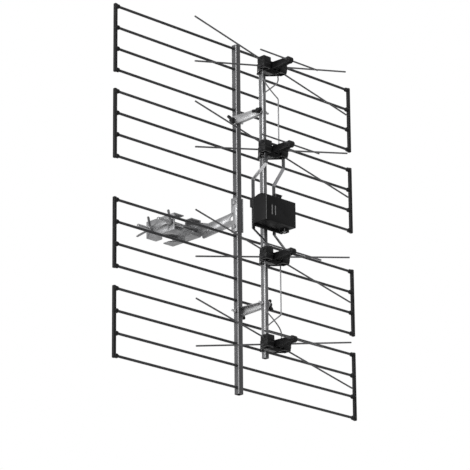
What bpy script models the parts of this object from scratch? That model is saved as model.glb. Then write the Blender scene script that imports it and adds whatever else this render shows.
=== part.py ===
"""Outdoor UHF antenna: four X dipoles before a rod reflector, held by a toothed V clamp.

Metres, +Z up, +X to the right, the antenna faces -Y. The origin is on the axis of the tube
space in the clamp, at half the antenna's height.
"""
import math

import bmesh
import bpy
from mathutils import Matrix, Vector

# Fits
GAP = 0.0003                # between pieces that touch or pass through each other

# Reflector: panels of rods, the middle pitch is a double one
ROD_PITCH = 0.050
RODS_PER_PANEL = 4
PANELS_PER_HALF = 2
ROD_LENGTH = 0.740          # between the middles of the two end bars
ROD_DIAMETER = 0.006
ROD_SIDES = 8
BAR_WIDTH = 0.009
BAR_DEPTH = 0.010
BAR_END = 0.0008            # what a bar has past its last boss
BOSS_RADIUS = 0.0065
BOSS_BORE_DEPTH = 0.0035    # how far a rod passes the middle of the bar

# Boom and carrier, both square tubes
BOOM_SIDE = 0.0150
BOOM_WALL = 0.0015
BOOM_TOP_END = 0.009
BOOM_BOTTOM_END = 0.015
CARRIER_SIDE = 0.0125
CARRIER_WALL = 0.0012
CARRIER_OFFSET = 0.083      # carrier axis in front of the boom axis
CARRIER_TOP_END = 0.004     # past the level of the top bay
CARRIER_BOTTOM_END = 0.0255

# Dipoles, one bent rod for each half of an X
DIPOLE_OFFSET = 0.032       # dipole plane in front of the carrier axis
DIPOLE_HALF_SPAN = 0.240
DIPOLE_HALF_HEIGHT = 0.053
DIPOLE_DIAMETER = 0.0038
DIPOLE_BEND_X = 0.0225
DIPOLE_SIDES = 8

# Directors
DIRECTOR_OFFSET = 0.054     # in front of the dipole plane
DIRECTOR_LENGTH = 0.182
DIRECTOR_DIAMETER = 0.0038
DIRECTOR_SIDES = 10

# Insulators, places counted from the bay level and the carrier axis
BLOCK_INNER_X = 0.0145
BLOCK_OUTER_X = 0.0375
BLOCK_BACK = 0.022
BLOCK_FRONT = 0.044
BLOCK_TOP = 0.015
BLOCK_BOTTOM = 0.0095
PLATE_THICKNESS = 0.003
PLATE_INSET = 0.0036        # of the plate from the blocks' outer sides
PLATE_FLARE = 0.0045        # what the plate shows beside the sleeve
SLEEVE_WALL = 0.0016
SLEEVE_TOP = 0.015
ARM_WIDTH = 0.013
ARM_TOP = 0.0085
EYE_RADIUS = 0.0075
GUSSET_FRONT = 0.046
EDGE_ROUND = 0.0015

# Feed lines
TERMINAL_OFFSET = 0.0262    # plane of the wires in front of the carrier axis
TERMINAL_DEPTH = 0.010      # how deep wires and strips sit in a block
WIRE_X = 0.024
WIRE_DIAMETER = 0.003
WIRE_SIDES = 6
CROSSING_HEIGHT = 0.052     # height over which a pair of wires changes sides
CROSSING_LEAD = 0.006       # straight stretch between a block and the crossing
CROSSING_CURVE = 0.45       # share of the crossing that is curved, the rest is a straight diagonal
CROSSING_BULGE = 0.004      # how far each wire steps aside from the other
STRIP_OFFSET = 0.0365       # plane of the strips' ends in front of the carrier axis
STRIP_WIDTH = 0.0095
STRIP_THICKNESS = 0.0015
STRIP_TOP_X = 0.027
STRIP_MIDDLE_X = 0.0325
STRIP_UPPER_LEAD = 0.026    # straight stretch under the blocks of the second bay
STRIP_UPPER_SLOPE = 0.030
STRIP_LOWER_LEAD = 0.009
STRIP_LOWER_SLOPE = 0.042

# Junction box, places counted from the carrier axis and the middle of the feed strips
BOX_HALF_WIDTH = 0.046
BOX_BACK = 0.0145
BOX_FRONT = 0.054
BOX_TOP = 0.0055
BOX_BOTTOM = 0.053
BOX_ARCH = 0.006
BOX_WALL = 0.002
BASE_THICKNESS = 0.003
BASE_RIM = 0.005
CLIP_HEIGHT = 0.030
CLIP_WALL = 0.003
POST_WIDTH = 0.0145
POST_HALF_HEIGHT = 0.0105
POST_BACK = 0.0035
LATCH_WIDTH = 0.018
LATCH_HEIGHT = 0.010
RIB_HEIGHT = 0.022
RIB_WIDTH = 0.002
RIB_SPACING = 0.010
RIB_X = -0.023
RIB_TOP = -0.016
BOARD_MARGIN = 0.011        # from the box's side to the board
BOARD_HEIGHT = 0.040
BOARD_THICKNESS = 0.0016
BOARD_PEG = 0.004
SOCKET_MARGIN = 0.0095      # from the box's side to the socket's axis
SOCKET_OFFSET = 0.028
SOCKET_RADIUS = 0.0047
SOCKET_BORE = 0.0011
SOCKET_BORE_DEPTH = 0.006
SOCKET_INSET = 0.001        # from the collar's rim to the socket's face
COLLAR_BORE = 0.0065        # clear of the nut of a plug
COLLAR_WALL = 0.0015
COLLAR_HEIGHT = 0.006
CORE_RADIUS = 0.007

# Standoffs
STANDOFF_HEIGHT_BOOM = 0.021
STANDOFF_HEIGHT_CARRIER = 0.015
STANDOFF_SHEET = 0.0018
STANDOFF_FLANGE = 0.012
SCREW_DIAMETER = 0.005
SCREW_TAIL = 0.012
SCREW_NUT_WIDTH = 0.008
SCREW_NUT_HEIGHT = 0.004
WING_HUB_RADIUS = 0.0065
WING_HUB_HEIGHT = 0.008
WING_SPAN = 0.032
WING_RISE = 0.005
WING_THICKNESS = 0.0045
WING_TURNS = {"upper": (37, 90), "lower": (-10, -10)}    # degrees from upright, at boom and carrier

# Clamp
TUBE_DIAMETER = 0.050       # the tube that the clamp is set for
TUBE_BEHIND = 0.168         # tube axis behind the boom axis
ARM_HALF_HEIGHT = 0.040
ARM_TAIL_HALF_HEIGHT = 0.0155
ARM_DROP_BOOM = 0.004       # of the arm's middle line below the jaws, at the boom
ARM_DROP_TAIL = 0.012       # the same at the end of the tail
ARM_SHEET = 0.0030
CHEEK_SHEET = 0.0020
CHEEK_FRONT = 0.0015        # what the cheeks show past the boom's front
ARM_SHOULDER = 0.014        # depth over which the arm narrows
ARM_OVERLAP = 0.024         # of the arm on the tail of the inner jaw
WINDOW_START = 0.004        # of the window behind the boom axis, it also opens one cheek
WINDOW_DEPTH = 0.019
WINDOW_TOP = 0.0065
WINDOW_BOTTOM = -0.0130
WINDOW_TAPER = 0.006
RIVET_DIAMETER = 0.006
RIVET_HEAD_DIAMETER = 0.010
RIVET_HEAD_HEIGHT = 0.0025
ARM_BOLT_LEVEL = 0.028
JAW_HALF_LENGTH = 0.046
JAW_HALF_HEIGHT = 0.020
JAW_SHEET = 0.0025
JAW_DEPTH = 0.030           # from the back of the web to the flange tips
JAW_TAIL = 0.080            # from the tube axis to the end of the tail
APEX_CLEARANCE = 0.001      # from the bottom of the V to the web
TOOTH_PITCH = 0.0045
TOOTH_DEPTH = 0.0015
BOLT_DIAMETER = 0.008
BOLT_SPACING = 0.066
BOLT_LENGTH = 0.122
BOLT_HEAD_WIDTH = 0.013
BOLT_HEAD_HEIGHT = 0.0053
BOLT_SIDES = 12
NUT_HUB_RADIUS = 0.008
NUT_HUB_HEIGHT = 0.009
NUT_WING_SPAN = 0.028
NUT_WING_RISE = 0.0265
NUT_WING_THICKNESS = 0.002

# Places that follow from the sizes
BOARD_WIDTH = 2 * (BOX_HALF_WIDTH - BOARD_MARGIN)
SOCKET_X = BOX_HALF_WIDTH - SOCKET_MARGIN
V_APEX = (TUBE_DIAMETER / 2 + GAP + TOOTH_DEPTH) * math.sqrt(2)
JAW_WEB = V_APEX + APEX_CLEARANCE
BOOM_X = JAW_WEB - GAP - ARM_SHEET / 2
BOOM_Y = -TUBE_BEHIND
CARRIER_Y = BOOM_Y - CARRIER_OFFSET
DIPOLE_Y = CARRIER_Y - DIPOLE_OFFSET
DIRECTOR_Y = DIPOLE_Y - DIRECTOR_OFFSET
TERMINAL_Y = CARRIER_Y - TERMINAL_OFFSET
STRIP_Y = CARRIER_Y - STRIP_OFFSET
PANEL_STEP = RODS_PER_PANEL * ROD_PITCH
HALF_HEIGHT = PANELS_PER_HALF * PANEL_STEP
BAY_LEVELS = [HALF_HEIGHT - (RODS_PER_PANEL - 1) * ROD_PITCH / 2,
              HALF_HEIGHT - PANEL_STEP - (RODS_PER_PANEL - 1) * ROD_PITCH / 2]
BAY_LEVELS += [-BAY_LEVELS[1], -BAY_LEVELS[0]]
STANDOFF_LEVEL = HALF_HEIGHT - PANEL_STEP + ROD_PITCH / 2


def clear_scene():
    for item in list(bpy.data.objects):
        bpy.data.objects.remove(item, do_unlink=True)


def make_material(name, colour, roughness, metallic):
    material = bpy.data.materials.new(name)
    material.use_nodes = True
    shader = material.node_tree.nodes["Principled BSDF"]
    shader.inputs["Base Color"].default_value = (*colour, 1.0)
    shader.inputs["Roughness"].default_value = roughness
    shader.inputs["Metallic"].default_value = metallic
    return material


def make_object(name, bm, material):
    """Turn a bmesh into a named object with outward faces and smooth round sides."""
    bmesh.ops.recalc_face_normals(bm, faces=bm.faces)
    mesh = bpy.data.meshes.new(name)
    bm.to_mesh(mesh)
    bm.free()
    mesh.materials.append(material)
    mesh.shade_smooth()
    mesh.set_sharp_from_angle(angle=math.radians(35))
    item = bpy.data.objects.new(name, mesh)
    bpy.context.scene.collection.objects.link(item)
    return item


def add_prism(bm, outline, axis, low, high):
    """Extrude an outline along an axis. The outline's pairs are (y, z), (x, z) or (x, y)."""
    places = {"x": lambda a, b, t: (t, a, b),
              "y": lambda a, b, t: (a, t, b),
              "z": lambda a, b, t: (a, b, t)}
    place = places[axis]
    face = bm.faces.new([bm.verts.new(place(a, b, low)) for a, b in outline])
    moved = bmesh.ops.extrude_face_region(bm, geom=[face])["geom"]
    shift = Vector(place(0.0, 0.0, high - low))
    bmesh.ops.translate(bm, vec=shift, verts=[v for v in moved if isinstance(v, bmesh.types.BMVert)])


def add_box(bm, low, high):
    x0, y0, z0 = low
    x1, y1, z1 = high
    add_prism(bm, [(x0, y0), (x1, y0), (x1, y1), (x0, y1)], "z", z0, z1)


def add_cylinder(bm, start, end, radius, sides, end_radius=None):
    start, end = Vector(start), Vector(end)
    along = end - start
    turn = along.to_track_quat("Z", "X").to_matrix().to_4x4()
    place = Matrix.Translation((start + end) / 2) @ turn
    bmesh.ops.create_cone(bm, cap_ends=True, segments=sides, radius1=radius,
                          radius2=radius if end_radius is None else end_radius,
                          depth=along.length, matrix=place)


def add_sweep(bm, points, radius, sides):
    """Round rod along a bent line, with mitred rings and closed ends."""
    points = [Vector(p) for p in points]
    rings = []
    side = None
    for i, point in enumerate(points):
        before = (point - points[i - 1]).normalized() if i else (points[1] - point).normalized()
        after = (points[i + 1] - point).normalized() if i < len(points) - 1 else before
        along = (before + after).normalized()
        stretch = 1.0 / max(0.3, along.dot(after))
        if side is None:
            guide = Vector((0.0, 1.0, 0.0)) if abs(along.y) < 0.9 else Vector((0.0, 0.0, 1.0))
            side = along.cross(guide).normalized()
        side = (side - along * side.dot(along)).normalized()
        up = along.cross(side)
        bend = after - before
        bend = (bend - along * bend.dot(along)).normalized() if bend.length > 1e-6 else None
        ring = []
        for k in range(sides):
            angle = 2 * math.pi * (k + 0.5) / sides
            spoke = (side * math.cos(angle) + up * math.sin(angle)) * radius
            if bend is not None:
                spoke += bend * spoke.dot(bend) * (stretch - 1.0)
            ring.append(bm.verts.new(point + spoke))
        rings.append(ring)
    for a, b in zip(rings, rings[1:]):
        for k in range(sides):
            bm.faces.new((a[k], a[(k + 1) % sides], b[(k + 1) % sides], b[k]))
    bm.faces.new(rings[0][::-1])
    bm.faces.new(rings[-1])


def arc(centre, radius, start, end, steps):
    """Points on an arc in a plane, angles in degrees, both ends included."""
    turns = [math.radians(start + (end - start) * i / steps) for i in range(steps + 1)]
    return [(centre[0] + radius * math.cos(t), centre[1] + radius * math.sin(t)) for t in turns]


def rounded(outline, radius, steps=2):
    """The outline with each corner rounded."""
    points = []
    count = len(outline)
    for i, corner in enumerate(outline):
        here = Vector(corner)
        to_last = (Vector(outline[i - 1]) - here)
        to_next = (Vector(outline[(i + 1) % count]) - here)
        half = to_last.angle(to_next) / 2
        back = min(radius / math.tan(half), 0.45 * min(to_last.length, to_next.length))
        inner = here + (to_last.normalized() + to_next.normalized()).normalized() * back / math.cos(half)
        first = here + to_last.normalized() * back
        last = here + to_next.normalized() * back
        reach = (first - inner).length
        for k in range(steps + 1):
            spot = first.lerp(last, k / steps) - inner
            points.append(tuple(inner + spot.normalized() * reach))
    return points


def boolean(item, tool, operation):
    """Cut, join or intersect by a tool that stays out of the finished part."""
    step = item.modifiers.new(operation.title(), "BOOLEAN")
    step.operation = operation
    step.solver = "EXACT"
    step.object = tool
    tool.hide_render = True
    tool.display_type = "WIRE"
    return item


def fused(name, shapes, material, cutters=()):
    """One solid from several closed shapes, each drawn by a function on its own bmesh."""
    item = None
    for number, draw in enumerate(list(shapes) + list(cutters)):
        bm = bmesh.new()
        draw(bm)
        if item is None:
            item = make_object(name, bm, material)
            continue
        tool = make_object(f"{name}.tool{number}", bm, material)
        boolean(item, tool, "UNION" if number < len(shapes) else "DIFFERENCE")
    return item


def rod_levels():
    """Level of each reflector rod from the top, leaving the middle level free."""
    count = PANELS_PER_HALF * RODS_PER_PANEL
    upper = [HALF_HEIGHT - i * ROD_PITCH for i in range(count)]
    return upper + [-z for z in reversed(upper)]


def panel_levels(panel):
    first = panel * RODS_PER_PANEL
    return rod_levels()[first:first + RODS_PER_PANEL]


def build_rods(material):
    reach = ROD_LENGTH / 2 + BOSS_BORE_DEPTH - GAP
    for number, level in enumerate(rod_levels(), start=1):
        bm = bmesh.new()
        start, end = (BOOM_X - reach, BOOM_Y, level), (BOOM_X + reach, BOOM_Y, level)
        add_cylinder(bm, start, end, ROD_DIAMETER / 2, ROD_SIDES)
        make_object(f"reflector_rod_{number:02d}", bm, material)


def bar_outline(levels, x):
    """Front view of an end bar: a strip with a round boss at each rod."""
    half = BAR_WIDTH / 2
    open_angle = math.degrees(math.acos(half / BOSS_RADIUS))
    left, right = [], []
    for level in levels:
        right += arc((x, level), BOSS_RADIUS, open_angle, -open_angle, 3)
        left += arc((x, level), BOSS_RADIUS, 180 - open_angle, 180 + open_angle, 3)
    end = math.sqrt(BOSS_RADIUS ** 2 - half ** 2) + BAR_END
    top = levels[0] + end
    bottom = levels[-1] - end
    foot = [(x + half, bottom), (x - half, bottom)]
    return [(x + half, top)] + right + foot + left[::-1] + [(x - half, top)]


def build_end_bars(material):
    for panel in range(2 * PANELS_PER_HALF):
        levels = panel_levels(panel)
        for side, word in ((-1, "left"), (1, "right")):
            middle = BOOM_X + side * ROD_LENGTH / 2

            def body(bm):
                half = BAR_DEPTH / 2
                add_prism(bm, bar_outline(levels, middle), "y", BOOM_Y - half, BOOM_Y + half)

            def bores(bm):
                for level in levels:
                    start = (middle - side * 2 * BOSS_RADIUS, BOOM_Y, level)
                    end = (middle + side * BOSS_BORE_DEPTH, BOOM_Y, level)
                    add_cylinder(bm, start, end, ROD_DIAMETER / 2 + GAP, ROD_SIDES)

            fused(f"end_bar_{word}_{panel + 1}", [body], material, [bores])


def add_square_tube(bm, x, y, low, high, side, wall):
    """Square tube along Z, open at both ends."""
    outer = [(-1, -1), (1, -1), (1, 1), (-1, 1)]
    rings = []
    for reach, z in ((side / 2, low), (side / 2, high), (side / 2 - wall, high), (side / 2 - wall, low)):
        rings.append([bm.verts.new((x + a * reach, y + b * reach, z)) for a, b in outer])
    for a, b in zip(rings, rings[1:] + rings[:1]):
        for k in range(4):
            bm.faces.new((a[k], a[(k + 1) % 4], b[(k + 1) % 4], b[k]))


def screw_holes(bm, y, half):
    for sign in (1, -1):
        z = sign * STANDOFF_LEVEL
        start, end = (BOOM_X - half, y, z), (BOOM_X + half, y, z)
        add_cylinder(bm, start, end, SCREW_DIAMETER / 2 + GAP, DIPOLE_SIDES)


def build_boom(material):
    def tube(bm):
        add_square_tube(bm, BOOM_X, BOOM_Y, -HALF_HEIGHT - BOOM_BOTTOM_END, HALF_HEIGHT + BOOM_TOP_END,
                        BOOM_SIDE, BOOM_WALL)

    def holes(bm):
        for level in rod_levels():
            start, end = (BOOM_X - BOOM_SIDE, BOOM_Y, level), (BOOM_X + BOOM_SIDE, BOOM_Y, level)
            add_cylinder(bm, start, end, ROD_DIAMETER / 2 + GAP, ROD_SIDES)
        screw_holes(bm, BOOM_Y, BOOM_SIDE)
        for sign in (1, -1):
            z = sign * ARM_BOLT_LEVEL
            start, end = (BOOM_X - BOOM_SIDE, BOOM_Y, z), (BOOM_X + BOOM_SIDE, BOOM_Y, z)
            add_cylinder(bm, start, end, RIVET_DIAMETER / 2 + GAP, DIPOLE_SIDES)

    fused("boom", [tube], material, [holes])


def build_carrier(material):
    def tube(bm):
        low, high = BAY_LEVELS[-1] - CARRIER_BOTTOM_END, BAY_LEVELS[0] + CARRIER_TOP_END
        add_square_tube(bm, BOOM_X, CARRIER_Y, low, high, CARRIER_SIDE, CARRIER_WALL)

    def holes(bm):
        screw_holes(bm, CARRIER_Y, CARRIER_SIDE)

    fused("carrier", [tube], material, [holes])


def dipole_path(side, level, past=0.0):
    """Middle line of one half X: tip, round bend at the terminal, tip."""
    slope = Vector((DIPOLE_HALF_SPAN, DIPOLE_HALF_HEIGHT)).normalized()
    tip = slope * (math.hypot(DIPOLE_HALF_SPAN, DIPOLE_HALF_HEIGHT) + past)
    bend_height = DIPOLE_BEND_X * slope.y / slope.x
    radius = bend_height / slope.x
    centre = DIPOLE_BEND_X + radius * slope.y
    turn = 90 + math.degrees(math.atan2(slope.y, slope.x))
    bend = arc((centre, 0.0), radius, turn, 360 - turn, 3)
    line = [(tip.x, tip.y)] + bend + [(tip.x, -tip.y)]
    return [(BOOM_X + side * x, DIPOLE_Y, level + z) for x, z in line]


def build_dipoles(material):
    for number, level in enumerate(BAY_LEVELS, start=1):
        for side, word in ((-1, "left"), (1, "right")):
            bm = bmesh.new()
            add_sweep(bm, dipole_path(side, level), DIPOLE_DIAMETER / 2, DIPOLE_SIDES)
            make_object(f"dipole_{word}_{number}", bm, material)


def build_directors(material):
    half = DIRECTOR_LENGTH / 2
    for number, level in enumerate(BAY_LEVELS, start=1):
        bm = bmesh.new()
        start, end = (BOOM_X - half, DIRECTOR_Y, level), (BOOM_X + half, DIRECTOR_Y, level)
        add_cylinder(bm, start, end, DIRECTOR_DIAMETER / 2, DIRECTOR_SIDES)
        make_object(f"director_{number}", bm, material)


def arm_outline(level):
    """Side view of the director arm: eye at the tip, gusset under it."""
    eye = (DIRECTOR_Y, level)
    tip = arc(eye, EYE_RADIUS, 105, 245, 5)
    back = CARRIER_Y - CARRIER_SIDE
    foot = level - BLOCK_BOTTOM - PLATE_THICKNESS / 5
    return [(back, level + ARM_TOP)] + tip + [(CARRIER_Y - GUSSET_FRONT, foot), (back, foot)]


def plate_outline(sleeve):
    """Floor of an insulator as (x, depth): as wide as the blocks in front, flaring from the sleeve."""
    wide, front = BLOCK_OUTER_X - PLATE_INSET, BLOCK_FRONT - PLATE_INSET
    narrow = sleeve + PLATE_FLARE
    half = [(wide, front), (wide, BLOCK_BACK), (narrow, 0.0)]
    return rounded(half + [(-x, y) for x, y in reversed(half)], EDGE_ROUND, 1)


def build_insulators(material):
    sleeve =CARRIER_SIDE / 2 + GAP + SLEEVE_WALL
    for number, level in enumerate(BAY_LEVELS, start=1):
        floor = level - BLOCK_BOTTOM

        def blocks(bm):
            x0, x1 = BOOM_X + BLOCK_INNER_X, BOOM_X + BLOCK_OUTER_X
            y0, y1 = CARRIER_Y - BLOCK_FRONT, CARRIER_Y - BLOCK_BACK
            add_prism(bm, rounded([(x0, y0), (x1, y0), (x1, y1), (x0, y1)], EDGE_ROUND, 1), "z",
                      floor - PLATE_THICKNESS, level + BLOCK_TOP)

        def mirrored_blocks(bm):
            blocks(bm)
            mirror = Matrix.Translation((2 * BOOM_X, 0, 0)) @ Matrix.Diagonal((-1, 1, 1, 1))
            bmesh.ops.transform(bm, matrix=mirror, verts=bm.verts)

        def plate(bm):
            outline = [(BOOM_X + x, CARRIER_Y - y) for x, y in plate_outline(sleeve)]
            add_prism(bm, outline, "z", floor - PLATE_THICKNESS * 0.8, floor)

        def bridge(bm):
            x = BLOCK_INNER_X + EDGE_ROUND
            front, back = CARRIER_Y - BLOCK_BACK - EDGE_ROUND * 2, CARRIER_Y - sleeve + EDGE_ROUND
            add_box(bm, (BOOM_X - x, front, floor - PLATE_THICKNESS / 2),
                    (BOOM_X + x, back, level + ARM_TOP + EDGE_ROUND / 2))

        def sleeve_block(bm):
            corners = [(-sleeve, -sleeve), (sleeve, -sleeve), (sleeve, sleeve), (-sleeve, sleeve)]
            outline = [(BOOM_X + a, CARRIER_Y + b) for a, b in rounded(corners, EDGE_ROUND, 1)]
            add_prism(bm, outline, "z", floor - PLATE_THICKNESS * 0.4, level + SLEEVE_TOP)

        def arm(bm):
            add_prism(bm, arm_outline(level), "x", BOOM_X - ARM_WIDTH / 2, BOOM_X + ARM_WIDTH / 2)

        def carrier_hole(bm):
            reach = CARRIER_SIDE / 2 + GAP
            add_box(bm, (BOOM_X - reach, CARRIER_Y - reach, level - 3 * BLOCK_BOTTOM),
                    (BOOM_X + reach, CARRIER_Y + reach, level + 3 * BLOCK_TOP))

        def dipole_seats(bm):
            for side in (-1, 1):
                add_sweep(bm, dipole_path(side, level, EDGE_ROUND), DIPOLE_DIAMETER / 2 + GAP, DIPOLE_SIDES)

        def director_hole(bm):
            reach = ARM_WIDTH
            add_cylinder(bm, (BOOM_X - reach, DIRECTOR_Y, level), (BOOM_X + reach, DIRECTOR_Y, level),
                         DIRECTOR_DIAMETER / 2 + GAP, DIRECTOR_SIDES)

        def terminal_bores(bm):
            for side in (-1, 1):
                for end in terminal_ends(number):
                    face = level + BLOCK_TOP if end[0] == "top" else floor - PLATE_THICKNESS
                    inward = -1 if end[0] == "top" else 1
                    z0, z1 = sorted((face + inward * (TERMINAL_DEPTH + GAP), face - inward * TERMINAL_DEPTH))
                    if end[1] == "wire":
                        x = BOOM_X + side * WIRE_X
                        line = [(x, TERMINAL_Y, z0), (x, TERMINAL_Y, z1)]
                        add_sweep(bm, line, WIRE_DIAMETER / 2 + GAP, WIRE_SIDES)
                    else:
                        x, wide = BOOM_X + side * STRIP_TOP_X, STRIP_WIDTH / 2 + GAP
                        thick = STRIP_THICKNESS / 2 + GAP
                        add_box(bm, (x - wide, STRIP_Y - thick, z0), (x + wide, STRIP_Y + thick, z1))

        fused(f"insulator_{number}", [blocks, mirrored_blocks, bridge, plate, sleeve_block, arm], material,
              [carrier_hole, dipole_seats, director_hole, terminal_bores])


def terminal_ends(number):
    """What enters the blocks of a bay from above and below."""
    return {1: [("bottom", "wire")], 2: [("top", "wire"), ("bottom", "strip")],
            3: [("top", "strip"), ("bottom", "wire")], 4: [("top", "wire")]}[number]


def block_top(number):
    return BAY_LEVELS[number - 1] + BLOCK_TOP


def block_bottom(number):
    return BAY_LEVELS[number - 1] - BLOCK_BOTTOM - PLATE_THICKNESS


def wire_path(side, start, end, sign):
    """Middle line of one wire from the crossing's end to the straight end; sign is up or down."""
    begin = start + sign * TERMINAL_DEPTH
    points = [(-side * WIRE_X, 0.0, begin)]
    steps = 8
    slope = 1 / (1 - CROSSING_CURVE / 2)
    for i in range(steps + 1):
        t = i / steps
        ease = slope * (t * t / CROSSING_CURVE / 2 if t < CROSSING_CURVE else t - CROSSING_CURVE / 2)
        x = -side * WIRE_X + 2 * side * WIRE_X * ease
        bulge = side * CROSSING_BULGE * math.sin(math.pi * t)
        points.append((x, bulge, start - sign * (CROSSING_LEAD + CROSSING_HEIGHT * t)))
    points.append((side * WIRE_X, 0.0, end - sign * TERMINAL_DEPTH))
    return [(BOOM_X + x, TERMINAL_Y + y, z) for x, y, z in points]


def build_wires(material):
    for word, start, end, sign in (("upper", block_bottom(1), block_top(2), 1),
                                   ("lower", block_top(4), block_bottom(3), -1)):
        for letter, side in (("a", 1), ("b", -1)):
            bm = bmesh.new()
            add_sweep(bm, wire_path(side, start, end, sign), WIRE_DIAMETER / 2, WIRE_SIDES)
            make_object(f"phasing_wire_{word}_{letter}", bm, material)


def strip_path():
    """Side view of a feed strip: (distance from the boom's plane x, y, z) from bay 2 to bay 3."""
    top, bottom = block_bottom(2), block_top(3)
    upper, lower = top - STRIP_UPPER_LEAD, bottom + STRIP_LOWER_LEAD
    return [(STRIP_TOP_X, STRIP_Y, top + TERMINAL_DEPTH),
            (STRIP_TOP_X, STRIP_Y, upper),
            (STRIP_MIDDLE_X, CARRIER_Y, upper - STRIP_UPPER_SLOPE),
            (STRIP_MIDDLE_X, CARRIER_Y, lower + STRIP_LOWER_SLOPE),
            (STRIP_TOP_X, STRIP_Y, lower),
            (STRIP_TOP_X, STRIP_Y, bottom - TERMINAL_DEPTH)]


def add_strip(bm, side, path, width, thickness):
    """Flat strip with its broad side across X, mitred at each bend."""
    rings = []
    steps = [Vector(b[1:]) - Vector(a[1:]) for a, b in zip(path, path[1:])]
    for i, (x, y, z) in enumerate(path):
        before = steps[max(0, i - 1)].normalized()
        after = steps[min(i, len(steps) - 1)].normalized()
        along = (before + after).normalized()
        across = Vector((-along.y, along.x)) * thickness / 2 / max(0.5, along.dot(after))
        middle = BOOM_X + side * x
        corners = ((-1, -1), (1, -1), (1, 1), (-1, 1))
        rings.append([bm.verts.new((middle + a * width / 2, y + b * across.x, z + b * across.y))
                      for a, b in corners])
    for a, b in zip(rings, rings[1:]):
        for k in range(4):
            bm.faces.new((a[k], a[(k + 1) % 4], b[(k + 1) % 4], b[k]))
    bm.faces.new(rings[0][::-1])
    bm.faces.new(rings[-1])


def build_strips(material):
    for side, word in ((-1, "left"), (1, "right")):
        bm = bmesh.new()
        add_strip(bm, side, strip_path(), STRIP_WIDTH, STRIP_THICKNESS)
        make_object(f"feed_strip_{word}", bm, material)


def box_outline(inset, back):
    """Side view of the cover as (y, z): flat front and bottom, arched top."""
    front, top = CARRIER_Y - BOX_FRONT + inset, BOX_TOP - inset
    rear, bottom = CARRIER_Y - back, -BOX_BOTTOM + inset
    steps = 6
    crown = []
    for i in range(steps + 1):
        t = i / steps
        crown.append((rear + (front - rear) * t, top + BOX_ARCH * math.sin(math.pi * t) ** 0.8))
    return crown + [(front, bottom), (rear, bottom)]


def build_box_cover(material):
    def shell(bm):
        add_prism(bm, box_outline(0.0, BOX_BACK), "x", BOOM_X - BOX_HALF_WIDTH, BOOM_X + BOX_HALF_WIDTH)

    def latch(bm):
        y = CARRIER_Y - (BOX_BACK + BOX_FRONT) / 2
        x0, x1 = BOOM_X, BOOM_X + LATCH_WIDTH
        foot, head = BOX_TOP + BOX_ARCH / 2, BOX_TOP + BOX_ARCH + LATCH_HEIGHT
        outline = [(x0, foot), (x1 * 0.999, foot), (x1, head - LATCH_HEIGHT / 2),
                   (x1 + 2 * RIB_WIDTH, head), (x0, head)]
        add_prism(bm, outline, "y", y - BOX_WALL * 2, y + BOX_WALL * 2)

    def ribs(bm):
        for sign in (-1, 1):
            x = BOOM_X + RIB_X + sign * RIB_SPACING / 2
            front = CARRIER_Y - BOX_FRONT
            add_box(bm, (x - RIB_WIDTH / 2, front - RIB_WIDTH / 2, RIB_TOP - RIB_HEIGHT),
                    (x + RIB_WIDTH / 2, front + RIB_WIDTH / 2, RIB_TOP))

    def collar(bm):
        reach = COLLAR_BORE + COLLAR_WALL
        x, y = BOOM_X + SOCKET_X, CARRIER_Y - SOCKET_OFFSET
        outline = rounded([(x - reach, y - reach), (x + reach, y - reach), (x + reach, y + reach),
                           (x - reach, y + reach)], EDGE_ROUND, 1)
        add_prism(bm, outline, "z", -BOX_BOTTOM - COLLAR_HEIGHT, -BOX_BOTTOM + BOX_WALL / 2)

    def hollow(bm):
        reach = BOX_HALF_WIDTH - BOX_WALL
        add_prism(bm, box_outline(BOX_WALL, BOX_BACK - BOX_WALL), "x", BOOM_X - reach, BOOM_X + reach)

    def socket_hole(bm):
        x, y = BOOM_X + SOCKET_X, CARRIER_Y - SOCKET_OFFSET
        add_cylinder(bm, (x, y, -BOX_BOTTOM - 2 * COLLAR_HEIGHT), (x, y, -BOX_BOTTOM + 2 * BOX_WALL),
                     COLLAR_BORE, BOLT_SIDES)

    fused("box_cover", [shell, latch, ribs, collar], material, [hollow, socket_hole])


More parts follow.
